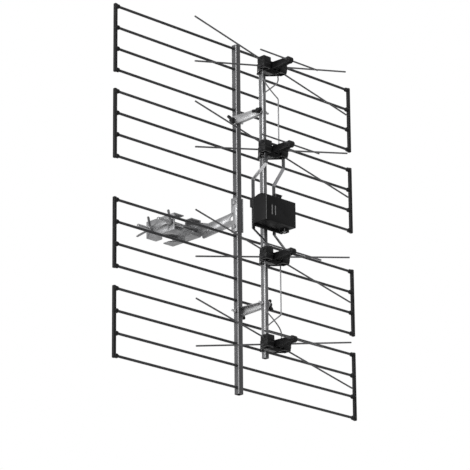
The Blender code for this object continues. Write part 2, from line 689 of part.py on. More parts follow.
def build_box_base(material):
    back = CARRIER_Y - BOX_BACK + GAP
    clip = CARRIER_SIDE / 2 + GAP + CLIP_WALL

    def plate(bm):
        wide = BOX_HALF_WIDTH
        corners = [(BOOM_X - wide, -BOX_BOTTOM - BASE_RIM), (BOOM_X + wide, -BOX_BOTTOM - BASE_RIM),
                   (BOOM_X + wide, BOX_TOP), (BOOM_X - wide, BOX_TOP)]
        add_prism(bm, rounded(corners, 2 * EDGE_ROUND, 2), "y", back, back + BASE_THICKNESS)

    def clip_block(bm):
        add_box(bm, (BOOM_X - clip, back + BASE_THICKNESS / 2, -CLIP_HEIGHT),
                (BOOM_X + clip, CARRIER_Y + clip - CLIP_WALL / 2, BOX_TOP - EDGE_ROUND))

    def posts(bm):
        for side in (-1, 1):
            x = BOOM_X + side * STRIP_MIDDLE_X
            add_box(bm, (x - POST_WIDTH / 2, back + BASE_THICKNESS / 3, -POST_HALF_HEIGHT),
                    (x + POST_WIDTH / 2, CARRIER_Y + POST_BACK, POST_HALF_HEIGHT))

    def lip(bm):
        reach = BOX_HALF_WIDTH - BOX_WALL - GAP
        low, high = -BOX_BOTTOM + BOX_WALL + GAP, BOX_TOP - BOX_WALL - GAP
        add_box(bm, (BOOM_X - reach, back - BOX_WALL, low),
                (BOOM_X + reach, back + BASE_THICKNESS / 2, high))

    def pegs(bm):
        tip = back - BOX_WALL - BOARD_PEG
        for side in (-1, 1):
            for z in board_peg_levels():
                x = BOOM_X + side * board_peg_x()
                add_cylinder(bm, (x, back, z), (x, tip, z), BOARD_PEG / 2, DIPOLE_SIDES)

    def carrier_slot(bm):
        reach = CARRIER_SIDE / 2 + GAP
        add_box(bm, (BOOM_X - reach, CARRIER_Y - reach, -2 * CLIP_HEIGHT),
                (BOOM_X + reach, CARRIER_Y + 3 * reach, 2 * CLIP_HEIGHT))

    def strip_slots(bm):
        wide, thick = STRIP_WIDTH / 2 + GAP, STRIP_THICKNESS / 2 + GAP
        for side in (-1, 1):
            x = BOOM_X + side * STRIP_MIDDLE_X
            add_box(bm, (x - wide, CARRIER_Y - thick, -2 * POST_HALF_HEIGHT),
                    (x + wide, CARRIER_Y + thick, 2 * POST_HALF_HEIGHT))

    fused("box_base", [plate, clip_block, posts, lip, pegs], material, [carrier_slot, strip_slots])


def board_peg_x():
    return BOARD_WIDTH / 2 - BOARD_PEG


def board_middle():
    return (BOX_TOP - BOX_BOTTOM) / 2


def board_peg_levels():
    return [board_middle() + s * (BOARD_HEIGHT / 2 - BOARD_PEG) for s in (-1, 1)]


def build_balun(material):
    back = CARRIER_Y - BOX_BACK + GAP - BOX_WALL - BOARD_PEG - GAP
    front = back - BOARD_THICKNESS
    socket_end = -BOX_BOTTOM - COLLAR_HEIGHT + SOCKET_INSET

    def board(bm):
        add_box(bm, (BOOM_X - BOARD_WIDTH / 2, front, board_middle() - BOARD_HEIGHT / 2),
                (BOOM_X + BOARD_WIDTH / 2, back, board_middle() + BOARD_HEIGHT / 2))

    def socket(bm):
        x, y = BOOM_X + SOCKET_X, CARRIER_Y - SOCKET_OFFSET
        top = -BOX_BOTTOM + BOX_WALL + 3 * BOARD_PEG
        add_cylinder(bm, (x, y, socket_end), (x, y, top), SOCKET_RADIUS, BOLT_SIDES)

    def socket_foot(bm):
        x, y = BOOM_X + SOCKET_X, CARRIER_Y - SOCKET_OFFSET
        reach = SOCKET_RADIUS + EDGE_ROUND
        low = -BOX_BOTTOM + BOX_WALL + BOARD_PEG / 2
        add_box(bm, (x - reach, y - reach, low),
                (x + reach, back - BOARD_THICKNESS / 2, low + 2 * BOARD_PEG))

    def core(bm):
        middle = (BOOM_X, front + BOARD_THICKNESS / 2, board_middle())
        add_cylinder(bm, middle, (middle[0], front - CORE_RADIUS, middle[2]), CORE_RADIUS, BOLT_SIDES)

    def socket_bore(bm):
        x, y = BOOM_X + SOCKET_X, CARRIER_Y - SOCKET_OFFSET
        start, end = (x, y, socket_end - BOARD_PEG), (x, y, socket_end + SOCKET_BORE_DEPTH)
        add_cylinder(bm, start, end, SOCKET_BORE, DIPOLE_SIDES)

    fused("balun_board", [board, socket_foot, socket, core], material, [socket_bore])


def wing_outline(hub, span, rise, height, foot=0.0):
    """Side view of a wing head: hub with two rising wings, as (across, along)."""
    tip = height + rise
    half = [(hub * 0.9, foot), (hub, height * 0.45), (span, tip - rise * 0.55),
            (span * 0.97, tip), (span * 0.78, tip), (hub * 0.55, height)]
    return half + [(-a, b) for a, b in reversed(half)]


def standoff_outline(sign):
    """Side view of a standoff web with a round eye on each tube's screw."""
    level = sign * STANDOFF_LEVEL
    boom_half, carrier_half = STANDOFF_HEIGHT_BOOM / 2, STANDOFF_HEIGHT_CARRIER / 2
    rear = arc((BOOM_Y, level), boom_half, -80, 80, 4)
    front = arc((CARRIER_Y, level), carrier_half, 100, 260, 4)
    return rear + front


def build_standoffs(material):
    for word, sign in (("upper", 1), ("lower", -1)):
        level = sign * STANDOFF_LEVEL
        face = BOOM_SIDE / 2 + GAP
        side = -sign

        def web(bm):
            x0, x1 = sorted((BOOM_X + side * face, BOOM_X + side * (face + STANDOFF_SHEET)))
            add_prism(bm, standoff_outline(sign), "x", x0, x1)

        def flanges(bm):
            y0 = CARRIER_Y + CARRIER_SIDE / 2 + EDGE_ROUND
            y1 = BOOM_Y - BOOM_SIDE / 2 - EDGE_ROUND
            x0, x1 = sorted((BOOM_X + side * (face + STANDOFF_SHEET / 2),
                             BOOM_X - side * (STANDOFF_FLANGE - face)))
            for up in (-1, 1):
                rows = []
                for y in (y0, y1):
                    share = (y - CARRIER_Y) / CARRIER_OFFSET
                    half = STANDOFF_HEIGHT_CARRIER / 2 * (1 - share) + STANDOFF_HEIGHT_BOOM / 2 * share
                    rows.append((y, level + up * (half - EDGE_ROUND / 3)))
                inner = [(y, z - up * STANDOFF_SHEET) for y, z in reversed(rows)]
                add_prism(bm, rows + inner, "x", x0, x1)

        def shanks(bm):
            for y, half in ((BOOM_Y, BOOM_SIDE / 2), (CARRIER_Y, CARRIER_SIDE / 2)):
                start = BOOM_X + side * (face + STANDOFF_SHEET + WING_HUB_HEIGHT / 2)
                end = BOOM_X - side * (half + GAP + SCREW_TAIL)
                add_cylinder(bm, (start, y, level), (end, y, level), SCREW_DIAMETER / 2, DIPOLE_SIDES)

        def nuts(bm):
            for y, half in ((BOOM_Y, BOOM_SIDE / 2), (CARRIER_Y, CARRIER_SIDE / 2)):
                start = BOOM_X - side * (half + GAP)
                add_cylinder(bm, (start, y, level), (start - side * SCREW_NUT_HEIGHT, y, level),
                             SCREW_NUT_WIDTH / math.sqrt(3), 6)

        def hubs(bm):
            start = BOOM_X + side * (face + STANDOFF_SHEET / 2)
            end = BOOM_X + side * (face + STANDOFF_SHEET + WING_HUB_HEIGHT)
            for y in (BOOM_Y, CARRIER_Y):
                add_cylinder(bm, (start, y, level), (end, y, level), WING_HUB_RADIUS, BOLT_SIDES)

        def heads(bm):
            foot = BOOM_X + side * (face + STANDOFF_SHEET * 0.7)
            for y, degrees in zip((BOOM_Y, CARRIER_Y), WING_TURNS[word]):
                head = bmesh.new()
                outline = wing_outline(WING_HUB_RADIUS, WING_SPAN / 2, WING_RISE, WING_HUB_HEIGHT)
                add_prism(head, outline, "y", -WING_THICKNESS / 2, WING_THICKNESS / 2)
                s, c = math.sin(math.radians(degrees)), math.cos(math.radians(degrees))
                turn = Matrix(((0, 0, side, foot), (s, c, 0, y), (c, -s, 0, level), (0, 0, 0, 1)))
                bmesh.ops.transform(head, matrix=turn, verts=head.verts)
                copy_into(bm, head)

        fused(f"standoff_{word}", [web, flanges, shanks, nuts, hubs, heads], material)


def copy_into(bm, other):
    """Add the shapes of another bmesh and free it."""
    mesh = bpy.data.meshes.new("copy")
    other.to_mesh(mesh)
    other.free()
    bm.from_mesh(mesh)
    bpy.data.meshes.remove(mesh)


def arm_middle(y):
    """Level of the arm's middle line, which drops a little from the boom to the tail."""
    share = (y - BOOM_Y) / (ARM_OVERLAP - JAW_TAIL - BOOM_Y)
    return -ARM_DROP_BOOM - (ARM_DROP_TAIL - ARM_DROP_BOOM) * share


def arm_edge(side):
    """Upper or lower edge of the arm's plate: tall at the boom, with a shoulder down to the tail."""
    start = BOOM_Y + BOOM_SIDE / 2 + GAP + CHEEK_SHEET / 2
    end = ARM_OVERLAP - JAW_TAIL
    steps = 6
    tall = side * (ARM_HALF_HEIGHT - EDGE_ROUND / 2)
    edge = []
    for i in range(steps + 1):
        angle = i / steps * math.pi / 2
        y = start + ARM_SHOULDER * (1 - math.cos(angle))
        low = arm_middle(y) + side * ARM_TAIL_HALF_HEIGHT
        edge.append((y, tall + (low - tall) * math.sin(angle)))
    for inset, back in ((0.0, 2 * EDGE_ROUND), (2 * EDGE_ROUND, 0.0)):
        edge.append((end - back, arm_middle(end) + side * (ARM_TAIL_HALF_HEIGHT - inset)))
    return edge


def arm_plate_outline():
    return arm_edge(1) + arm_edge(-1)[::-1]


def build_arm(material):
    cheek = BOOM_SIDE / 2 + GAP

    def channel(bm):
        outer = cheek + CHEEK_SHEET
        front = BOOM_Y - BOOM_SIDE / 2 - CHEEK_FRONT
        rear = BOOM_Y + cheek
        half = [(cheek, rear), (cheek, front), (outer, front), (outer, rear + CHEEK_SHEET)]
        outline = [(BOOM_X + x, y) for x, y in half] + [(BOOM_X - x, y) for x, y in reversed(half)]
        add_prism(bm, outline, "z", -ARM_HALF_HEIGHT, ARM_HALF_HEIGHT)

    def plate(bm):
        add_prism(bm, arm_plate_outline(), "x", BOOM_X - ARM_SHEET / 2, BOOM_X + ARM_SHEET / 2)

    def boom_bolts(bm):
        reach = cheek + CHEEK_SHEET + RIVET_HEAD_HEIGHT
        for sign in (-1, 1):
            z = sign * ARM_BOLT_LEVEL
            start, end = (BOOM_X - reach, BOOM_Y, z), (BOOM_X + reach, BOOM_Y, z)
            add_cylinder(bm, start, end, RIVET_DIAMETER / 2, DIPOLE_SIDES)

    def boom_bolt_heads(bm):
        inner = cheek + CHEEK_SHEET / 2
        outer = cheek + CHEEK_SHEET + RIVET_HEAD_HEIGHT * 1.4
        for sign in (-1, 1):
            for side in (-1, 1):
                z = sign * ARM_BOLT_LEVEL
                add_cylinder(bm, (BOOM_X + side * inner, BOOM_Y, z), (BOOM_X + side * outer, BOOM_Y, z),
                             RIVET_HEAD_DIAMETER / 2, 6)

    def tail_rivets(bm):
        for y, z in tail_rivet_places():
            add_cylinder(bm, (BOOM_X, y, z), (JAW_WEB + JAW_SHEET + RIVET_HEAD_HEIGHT, y, z),
                         RIVET_DIAMETER / 2, DIPOLE_SIDES)

    def tail_rivet_heads(bm):
        radius = RIVET_HEAD_DIAMETER / 2
        low = BOOM_X - ARM_SHEET / 2 - RIVET_HEAD_HEIGHT
        high = JAW_WEB + JAW_SHEET + GAP
        for y, z in tail_rivet_places():
            add_cylinder(bm, (low, y, z), (BOOM_X, y, z), radius, DIPOLE_SIDES)
            add_cylinder(bm, (high, y, z), (high + RIVET_HEAD_HEIGHT, y, z), radius, DIPOLE_SIDES)

    def window(bm):
        start, end = BOOM_Y + WINDOW_START, BOOM_Y + WINDOW_START + WINDOW_DEPTH
        corners = [(start, WINDOW_BOTTOM), (end, WINDOW_BOTTOM + WINDOW_TAPER),
                   (end, WINDOW_TOP - WINDOW_TAPER), (start, WINDOW_TOP)]
        left = BOOM_X - cheek - CHEEK_SHEET - EDGE_ROUND
        add_prism(bm, rounded(corners, EDGE_ROUND, 2), "x", left, BOOM_X + ARM_SHEET)

    shapes = [channel, plate, boom_bolts, boom_bolt_heads, tail_rivets, tail_rivet_heads]
    fused("clamp_arm", shapes, material, [window])


def tail_rivet_places():
    """Where the arm is riveted to the inner jaw, as (y, z)."""
    middle = -JAW_TAIL + ARM_OVERLAP / 2
    places = [middle - ARM_OVERLAP * 0.27, middle + ARM_OVERLAP * 0.27]
    return [(y, arm_middle(y)) for y in places]


def add_jaw(bm, side):
    """Channel with its web away from the tube; side 1 is the inner jaw."""
    web = JAW_WEB
    tip = web + JAW_SHEET - JAW_DEPTH
    outer, inner = JAW_HALF_HEIGHT, JAW_HALF_HEIGHT - JAW_SHEET
    outline = [(web + JAW_SHEET, -outer), (web + JAW_SHEET, outer), (tip, outer), (tip, inner), (web, inner),
               (web, -inner), (tip, -inner), (tip, -outer)]
    add_prism(bm, [(side * x, z) for x, z in outline], "y", -JAW_HALF_LENGTH, JAW_HALF_LENGTH)


def add_notch(bm, side):
    """Toothed V that the flanges bite the tube with, right-angled and open towards the tube."""
    slant = math.sqrt(0.5)
    mouth = JAW_WEB + JAW_SHEET - JAW_DEPTH - TOOTH_PITCH
    run = (V_APEX - mouth) / slant
    edge = []
    for i in range(int(run / TOOTH_PITCH)):
        foot = i * TOOTH_PITCH * slant
        tip = foot + TOOTH_PITCH * slant / 4
        edge.append((V_APEX - foot, foot))
        edge.append((V_APEX - tip - TOOTH_DEPTH * slant, max(0.0, tip - TOOTH_DEPTH * slant) + GAP))
    edge[1] = (V_APEX - TOOTH_PITCH * slant / 2, TOOTH_PITCH * slant / 2)
    edge.append((mouth, V_APEX - mouth))
    outline = edge + [(x, -y) for x, y in reversed(edge[1:])]
    reach = JAW_HALF_HEIGHT * 1.5
    add_prism(bm, [(side * x, y) for x, y in outline], "z", -reach, reach)


def bolt_places():
    return (("front", -BOLT_SPACING / 2), ("rear", BOLT_SPACING / 2))


def build_inner_jaw(material):
    def channel(bm):
        add_jaw(bm, 1)

    def tail(bm):
        y0, y1 = -JAW_TAIL, -JAW_HALF_LENGTH + EDGE_ROUND
        end, root = ARM_TAIL_HALF_HEIGHT - EDGE_ROUND, JAW_HALF_HEIGHT - JAW_SHEET
        middle = arm_middle(y0)
        corners = [(y0, middle - end), (y1, -root), (y1, root - JAW_SHEET), (y0, middle + end)]
        add_prism(bm, rounded(corners, EDGE_ROUND, 1), "x", JAW_WEB, JAW_WEB + JAW_SHEET)

    def notch(bm):
        add_notch(bm, 1)

    def holes(bm):
        low, high = JAW_WEB - JAW_SHEET, JAW_WEB + 2 * JAW_SHEET
        for word, y in bolt_places():
            add_cylinder(bm, (low, y, 0), (high, y, 0), BOLT_DIAMETER / 2 + GAP, BOLT_SIDES)
        for y, z in tail_rivet_places():
            add_cylinder(bm, (low, y, z), (high, y, z), RIVET_DIAMETER / 2 + GAP, DIPOLE_SIDES)

    fused("inner_jaw", [channel, tail], material, [notch, holes])


def build_outer_jaw(material):
    def channel(bm):
        add_jaw(bm, -1)

    def notch(bm):
        add_notch(bm, -1)

    def holes(bm):
        low, high = -JAW_WEB - 2 * JAW_SHEET, -JAW_WEB + JAW_SHEET
        for word, y in bolt_places():
            add_cylinder(bm, (low, y, 0), (high, y, 0), BOLT_DIAMETER / 2 + GAP, BOLT_SIDES)

    fused("outer_jaw", [channel], material, [notch, holes])


def build_clamp_bolts(material):
    head = JAW_WEB + JAW_SHEET + GAP
    for word, y in bolt_places():
        def shank(bm):
            start, end = (head + BOLT_HEAD_HEIGHT / 2, y, 0), (head - BOLT_LENGTH, y, 0)
            add_cylinder(bm, start, end, BOLT_DIAMETER / 2, BOLT_SIDES)

        def hexagon(bm):
            start, end = (head, y, 0), (head + BOLT_HEAD_HEIGHT, y, 0)
            add_cylinder(bm, start, end, BOLT_HEAD_WIDTH / math.sqrt(3), 6)

        fused(f"clamp_bolt_{word}", [hexagon, shank], material)


def build_wing_nuts(material):
    face = -JAW_WEB - JAW_SHEET - GAP
    slant = math.sqrt(0.5)
    for word, y in bolt_places():
        def hub(bm):
            add_cylinder(bm, (face, y, 0), (face - NUT_HUB_HEIGHT, y, 0), NUT_HUB_RADIUS, BOLT_SIDES,
                         NUT_HUB_RADIUS * 0.8)

        def wings(bm):
            rise = NUT_WING_RISE - NUT_HUB_HEIGHT
            outline = wing_outline(NUT_HUB_RADIUS * 0.9, NUT_WING_SPAN, rise, NUT_HUB_HEIGHT * 0.9,
                                   NUT_HUB_HEIGHT / 8)
            add_prism(bm, outline, "y", -NUT_WING_THICKNESS / 2, NUT_WING_THICKNESS / 2)
            turn = Matrix(((0, 0, -1, face), (-slant, -slant, 0, y), (slant, -slant, 0, 0), (0, 0, 0, 1)))
            bmesh.ops.transform(bm, matrix=turn, verts=bm.verts)

        def bore(bm):
            start, end = (face + NUT_HUB_HEIGHT, y, 0), (face - 2 * NUT_HUB_HEIGHT - NUT_WING_RISE, y, 0)
            add_cylinder(bm, start, end, BOLT_DIAMETER / 2 + GAP, BOLT_SIDES)

        fused(f"wing_nut_{word}", [hub, wings], material, [bore])


def build():
    clear_scene()
    dark_metal = make_material("dark_metal", (0.075, 0.078, 0.082), 0.45, 0.9)
    pale_metal = make_material("pale_metal", (0.52, 0.53, 0.54), 0.38, 1.0)
    aluminium = make_material("aluminium", (0.60, 0.61, 0.62), 0.32, 1.0)
    black_plastic = make_material("black_plastic", (0.018, 0.018, 0.019), 0.5, 0.0)
    board_green = make_material("board_green", (0.03, 0.16, 0.07), 0.5, 0.0)
    build_rods(dark_metal)
    build_end_bars(black_plastic)
    build_boom(aluminium)
    build_carrier(aluminium)
    build_insulators(black_plastic)
    build_dipoles(dark_metal)
    build_directors(dark_metal)
    build_wires(aluminium)
    build_strips(aluminium)
    build_box_cover(black_plastic)
    build_box_base(black_plastic)
    build_balun(board_green)
    build_standoffs(pale_metal)
    build_arm(pale_metal)
    build_inner_jaw(pale_metal)
    build_outer_jaw(pale_metal)
    build_clamp_bolts(pale_metal)
    build_wing_nuts(pale_metal)


build()
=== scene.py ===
import math

import bmesh
import bpy
from mathutils import Matrix, Vector


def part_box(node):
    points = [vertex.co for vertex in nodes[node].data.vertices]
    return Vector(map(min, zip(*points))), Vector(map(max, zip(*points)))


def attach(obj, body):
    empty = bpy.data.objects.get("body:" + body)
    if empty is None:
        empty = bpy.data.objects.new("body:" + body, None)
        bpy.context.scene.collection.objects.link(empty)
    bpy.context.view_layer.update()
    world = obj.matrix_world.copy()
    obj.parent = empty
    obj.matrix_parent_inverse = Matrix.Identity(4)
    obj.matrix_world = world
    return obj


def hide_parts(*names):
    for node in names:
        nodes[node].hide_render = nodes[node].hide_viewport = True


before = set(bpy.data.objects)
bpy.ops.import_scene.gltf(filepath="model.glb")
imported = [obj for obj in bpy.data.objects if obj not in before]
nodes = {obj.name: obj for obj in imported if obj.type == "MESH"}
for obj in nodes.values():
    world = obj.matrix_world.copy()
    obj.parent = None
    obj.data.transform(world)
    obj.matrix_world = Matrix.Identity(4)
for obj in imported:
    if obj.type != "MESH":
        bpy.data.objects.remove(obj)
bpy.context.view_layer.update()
scene = bpy.context.scene
print("frame loaded with", len(nodes), "nodes")


def middleOf(name):
    low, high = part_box(name)
    return (low + high) / 2


# places that the CAD gives, in metres
boomX, boomY = middleOf("boom").x, middleOf("boom").y
carrierY = middleOf("carrier").y
rodNames = sorted(name for name in nodes if name.startswith("reflector_rod"))
bayLevels = {bay: middleOf(f"director_{bay}").z for bay in range(1, 5)}
standoffLevels = {"upper": 0.225, "lower": -0.225}

cameraPlan = {
    "lens": 234.52, "sensor": 36.0, "near": 0.1, "far": 300.0,
    "bearing": 44.684,      # degrees, from +Y towards +X
    "rise": 18.753,
    "roll": -0.489,
    "place": (-4.51295, -4.76051, -2.24062),
}


def makeCamera(plan):
    bearing, rise, roll = (math.radians(plan[key]) for key in ("bearing", "rise", "roll"))
    flat = Vector((math.sin(bearing), math.cos(bearing), 0.0)) * math.cos(rise)
    forward = flat + Vector((0.0, 0.0, math.sin(rise)))
    level = Vector((math.cos(bearing), -math.sin(bearing), 0.0))
    upright = level.cross(forward)
    right = level * math.cos(roll) + upright * math.sin(roll)
    up = upright * math.cos(roll) - level * math.sin(roll)
    data = bpy.data.cameras.new("camera")
    data.lens, data.sensor_width = plan["lens"], plan["sensor"]
    data.clip_start, data.clip_end = plan["near"], plan["far"]
    camera = bpy.data.objects.new("camera", data)
    scene.collection.objects.link(camera)
    turn = Matrix((right, up, -forward)).transposed().to_4x4()
    camera.matrix_world = Matrix.Translation(plan["place"]) @ turn
    scene.camera = camera


makeCamera(cameraPlan)
print("camera ready")


def startMaterial(name):
    material = bpy.data.materials.new(name)
    material.use_nodes = True
    tree = material.node_tree
    return material, tree, tree.nodes["Principled BSDF"]


def addNode(tree, kind, links=(), **values):      # each link is an input with its source or value
    made = tree.nodes.new(kind)
    for key, value in values.items():
        setattr(made, key, value)
    for socket, source in links:
        if isinstance(source, bpy.types.NodeSocket):
            tree.links.new(source, made.inputs[socket])
        else:
            made.inputs[socket].default_value = source
    return made


def objectPlace(tree, scale=(1, 1, 1), turn=(0, 0, 0)):
    source = addNode(tree, "ShaderNodeTexCoord")
    links = [("Vector", source.outputs["Object"]), ("Scale", scale), ("Rotation", turn)]
    return addNode(tree, "ShaderNodeMapping", links).outputs["Vector"]


def noise(tree, place, scale, detail=3.0, rough=0.5):
    links = [("Vector", place), ("Scale", scale), ("Detail", detail), ("Roughness", rough)]
    return addNode(tree, "ShaderNodeTexNoise", links).outputs["Fac"]


def remap(tree, value, low, high, newLow=0.0, newHigh=1.0):
    links = [("Value", value), ("From Min", low), ("From Max", high)]
    links += [("To Min", newLow), ("To Max", newHigh)]
    return addNode(tree, "ShaderNodeMapRange", links).outputs["Result"]


def maths(tree, operation, first, second=0.0):
    return addNode(tree, "ShaderNodeMath", [(0, first), (1, second)], operation=operation).outputs[0]


def weighed(tree, parts):      # sum of (source, weight) pairs
    total = None
    for source, weight in parts:
        term = maths(tree, "MULTIPLY", source, weight)
        total = term if total is None else maths(tree, "ADD", total, term)
    return total


def blendColour(tree, share, first, second):
    made = tree.nodes.new("ShaderNodeMix")
    made.data_type = "RGBA"
    factor, colourOne, colourTwo = made.inputs[0], made.inputs[6], made.inputs[7]
    for socket, source in ((factor, share), (colourOne, first), (colourTwo, second)):
        if isinstance(source, bpy.types.NodeSocket):
            tree.links.new(source, socket)
        else:
            socket.default_value = (*source, 1.0)
    return made.outputs[2]


bevelSamples = 6
paintedCornerRange = (0.26, 0.45)      # product of the two sideways parts of a normal, from flat to corner, over which the painted corner highlight comes in
paintedLeanRange = (-0.15, -0.35)     # upright part of a normal, from level to leaning down, over which the painted highlight comes in


def edgeWear(tree, radius, low, high):      # 1 on sharp edges, 0 on open faces, and the rounded normal
    soft = addNode(tree, "ShaderNodeBevel", [("Radius", radius)], samples=bevelSamples)
    flat = addNode(tree, "ShaderNodeNewGeometry")
    links = [(0, soft.outputs["Normal"]), (1, flat.outputs["Normal"])]
    both = addNode(tree, "ShaderNodeVectorMath", links, operation="DOT_PRODUCT")
    return remap(tree, both.outputs["Value"], high, low), soft.outputs["Normal"]


def facingParts(tree):
    source = addNode(tree, "ShaderNodeTexCoord").outputs["Normal"]
    return addNode(tree, "ShaderNodeSeparateXYZ", [("Vector", source)]).outputs


def paintedCornerHighlight(tree, share):      # painted highlight: rounded upright corners are painted brighter than the flats
    facing = facingParts(tree)
    across = maths(tree, "ABSOLUTE", maths(tree, "MULTIPLY", facing["X"], facing["Y"]))
    return maths(tree, "MULTIPLY", remap(tree, across, *paintedCornerRange), share)


def finishMaterial(tree, shader, look, colour, roughness, height, normal=None):
    tree.links.new(colour, shader.inputs["Base Color"])
    tree.links.new(roughness, shader.inputs["Roughness"])
    shader.inputs["Metallic"].default_value = look.get("metallic", 0.0)
    shader.inputs["Specular IOR Level"].default_value = look.get("specular", 0.5)
    links = [("Height", height), ("Distance", look["bump"])]
    if normal is not None:
        links.append(("Normal", normal))
    bump = addNode(tree, "ShaderNodeBump", links)
    tree.links.new(bump.outputs["Normal"], shader.inputs["Normal"])


def addLayer(tree, plan, look):      # noise, or crystal flecks where the plan gives no detail
    place = objectPlace(tree, plan.get("stretch", (1, 1, 1)), plan.get("turn", (0, 0, 0)))
    scale = plan.get("scale", look.get("scale", 1.0))
    if "detail" in plan:
        return noise(tree, place, scale, plan["detail"], plan["rough"])
    fleck = addNode(tree, "ShaderNodeTexVoronoi", [("Vector", place), ("Scale", scale)]).outputs["Color"]
    return addNode(tree, "ShaderNodeSeparateColor", [("Color", fleck)]).outputs[0]


# each kind of surface: noise layers, their weights in tone, gloss and height, then marks and bare edges
rodKind = {      # thin coat on drawn steel: grain along X, scuffs, bare cut ends
    "layers": {
        "grain": {"stretch": (6, 420, 420), "detail": 4.0, "rough": 0.6},
        "cloud": {"scale": 38.0, "detail": 4.0, "rough": 0.55},
        "mark": {"stretch": (1, 3, 3), "scale": 160.0, "detail": 5.0, "rough": 0.7},
    },
    "tone": {"cloud": 1.0}, "gloss": {"grain": 0.5, "cloud": 0.5}, "height": {"grain": 1.0},
    "toneRange": (0.3, 0.7), "glossRange": (0.3, 0.7), "markRange": (0.66, 0.74), "markShare": 0.3,
    "edge": (0.0005, 0.80, 0.96), "edgeShare": 0.6,
}
tubeKind = {      # drawn aluminium: die lines along Z, oxide clouds, scratches, bright edges
    "layers": {
        "lines": {"stretch": (420, 420, 3), "detail": 4.0, "rough": 0.55},
        "broad": {"stretch": (160, 160, 1.2), "detail": 2.0, "rough": 0.5},
        "cloud": {"stretch": (1, 1, 0.5), "scale": 26.0, "detail": 4.0, "rough": 0.6},
        "mark": {"stretch": (60, 60, 700), "turn": (0.3, 0.1, 0.0), "detail": 2.0, "rough": 0.5},
    },
    "tone": {"lines": 0.25, "broad": 0.35, "cloud": 0.40},
    "gloss": {"lines": 0.25, "broad": 0.35, "cloud": 0.40}, "height": {"lines": 1.0},
    "toneRange": (0.34, 0.66), "glossRange": (0.35, 0.65), "markRange": (0.72, 0.78), "markShare": 0.10,
    "edge": (0.0004, 0.74, 0.92), "edgeShare": 0.6,
}
zincKind = {      # zinc plate: crystal flecks, dull stains, edges rubbed bright
    "layers": {
        "crystal": {},
        "stain": {"scale": 42.0, "detail": 5.0, "rough": 0.62},
        "fine": {"scale": 700.0, "detail": 3.0, "rough": 0.6},
    },
    "tone": {"crystal": 0.18, "stain": 0.82}, "gloss": {"crystal": 0.18, "stain": 0.82},
    "height": {"fine": 0.5, "stain": 0.5}, "toneRange": (0.28, 0.72), "glossRange": (0.72, 0.28),
    "edge": (0.0008, 0.78, 0.97), "edgeShare": 0.8,
}
plasticKind = {      # moulded: eroded grain, faint flow marks, dust, edges worn grey
    "layers": {
        "fine": {"detail": 3.0, "rough": 0.6},
        "flow": {"stretch": (1, 1, 0.4), "scale": 55.0, "detail": 4.0, "rough": 0.6},
        "mark": {"scale": 240.0, "detail": 5.0, "rough": 0.7},
    },
    "tone": {"flow": 1.0}, "gloss": {"flow": 0.6, "fine": 0.4}, "height": {"fine": 1.0},
    "toneRange": (0.32, 0.68), "glossRange": (0.35, 0.65), "markRange": (0.60, 0.74), "markShare": 0.10,
    "edge": (0.0007, 0.78, 0.97), "edgeShare": 0.55,
}


def wornMaterial(name, look, kind):
    material, tree, shader = startMaterial(name)
    layers = {key: addLayer(tree, plan, look) for key, plan in kind["layers"].items()}
    tone, gloss, height = (weighed(tree, [(layers[item], weight) for item, weight in kind[key].items()])
                           for key in ("tone", "gloss", "height"))
    colour = blendColour(tree, remap(tree, tone, *kind["toneRange"]), look["dark"], look["pale"])
    if "slope" in look:      # painted highlight: stretches whose normals lean down are painted lighter
        paintedLean = remap(tree, facingParts(tree)["Z"], *paintedLeanRange)
        colour = blendColour(tree, paintedLean, colour, look["slope"])
    worn, rounded = edgeWear(tree, *kind["edge"])
    wearAndHighlightShare = maths(tree, "MULTIPLY", worn, look.get("edgeShare", kind["edgeShare"]))
    if "mark" in layers:
        mark = remap(tree, layers["mark"], *kind["markRange"])
        mark = maths(tree, "MULTIPLY", mark, look.get("markShare", kind["markShare"]))
        wearAndHighlightShare = maths(tree, "MAXIMUM", wearAndHighlightShare, mark)
    # painted highlight: the worn colour is also laid along the rounded upright corners
    if "corner" in look:
        wearAndHighlightShare = maths(tree, "MAXIMUM", wearAndHighlightShare, paintedCornerHighlight(tree, look["corner"]))
    colour = blendColour(tree, wearAndHighlightShare, colour, look["worn"])
    rough = remap(tree, gloss, *kind["glossRange"], *look["roughness"])
    finishMaterial(tree, shader, look, colour, rough, height, rounded)
    return material


coatedRod = {
    "dark": (0.024, 0.024, 0.025), "pale": (0.040, 0.040, 0.042), "worn": (0.13, 0.13, 0.13),
    "roughness": (0.40, 0.56), "metallic": 0.0, "specular": 0.12, "bump": 0.00008,
}
elementRod = {
    "dark": (0.050, 0.050, 0.052), "pale": (0.085, 0.085, 0.088), "worn": (0.24, 0.24, 0.24),
    "roughness": (0.32, 0.48), "metallic": 0.35, "specular": 0.2, "bump": 0.00008,
}
boomTube = {
    "dark": (0.040, 0.040, 0.042), "pale": (0.058, 0.058, 0.060), "worn": (0.62, 0.62, 0.63),
    # corner: share of the painted highlight along the boom's rounded upright corners, in its worn colour
    "roughness": (0.28, 0.42), "metallic": 0.35, "specular": 0.3, "bump": 0.00003, "corner": 0.30,
}
carrierTube = {
    "dark": (0.065, 0.066, 0.068), "pale": (0.110, 0.111, 0.114), "worn": (0.78, 0.78, 0.79),
    # corner: share of the painted highlight along the carrier's rounded upright corners, in its worn colour
    "roughness": (0.26, 0.40), "metallic": 0.35, "specular": 0.4, "bump": 0.00003, "corner": 0.62,
}
rolledStrip = {
    "dark": (0.045, 0.046, 0.048), "pale": (0.085, 0.086, 0.089), "worn": (0.42, 0.42, 0.43),
    # slope is the colour of the painted highlight on the leaning stretches
    "slope": (0.25, 0.25, 0.26),
    "roughness": (0.22, 0.36), "metallic": 0.75, "specular": 0.5, "bump": 0.00004,
}
strongHighlightStrip = {**rolledStrip, "slope": (0.55, 0.55, 0.56)}      # the same strip with a stronger painted highlight on its leaning stretches
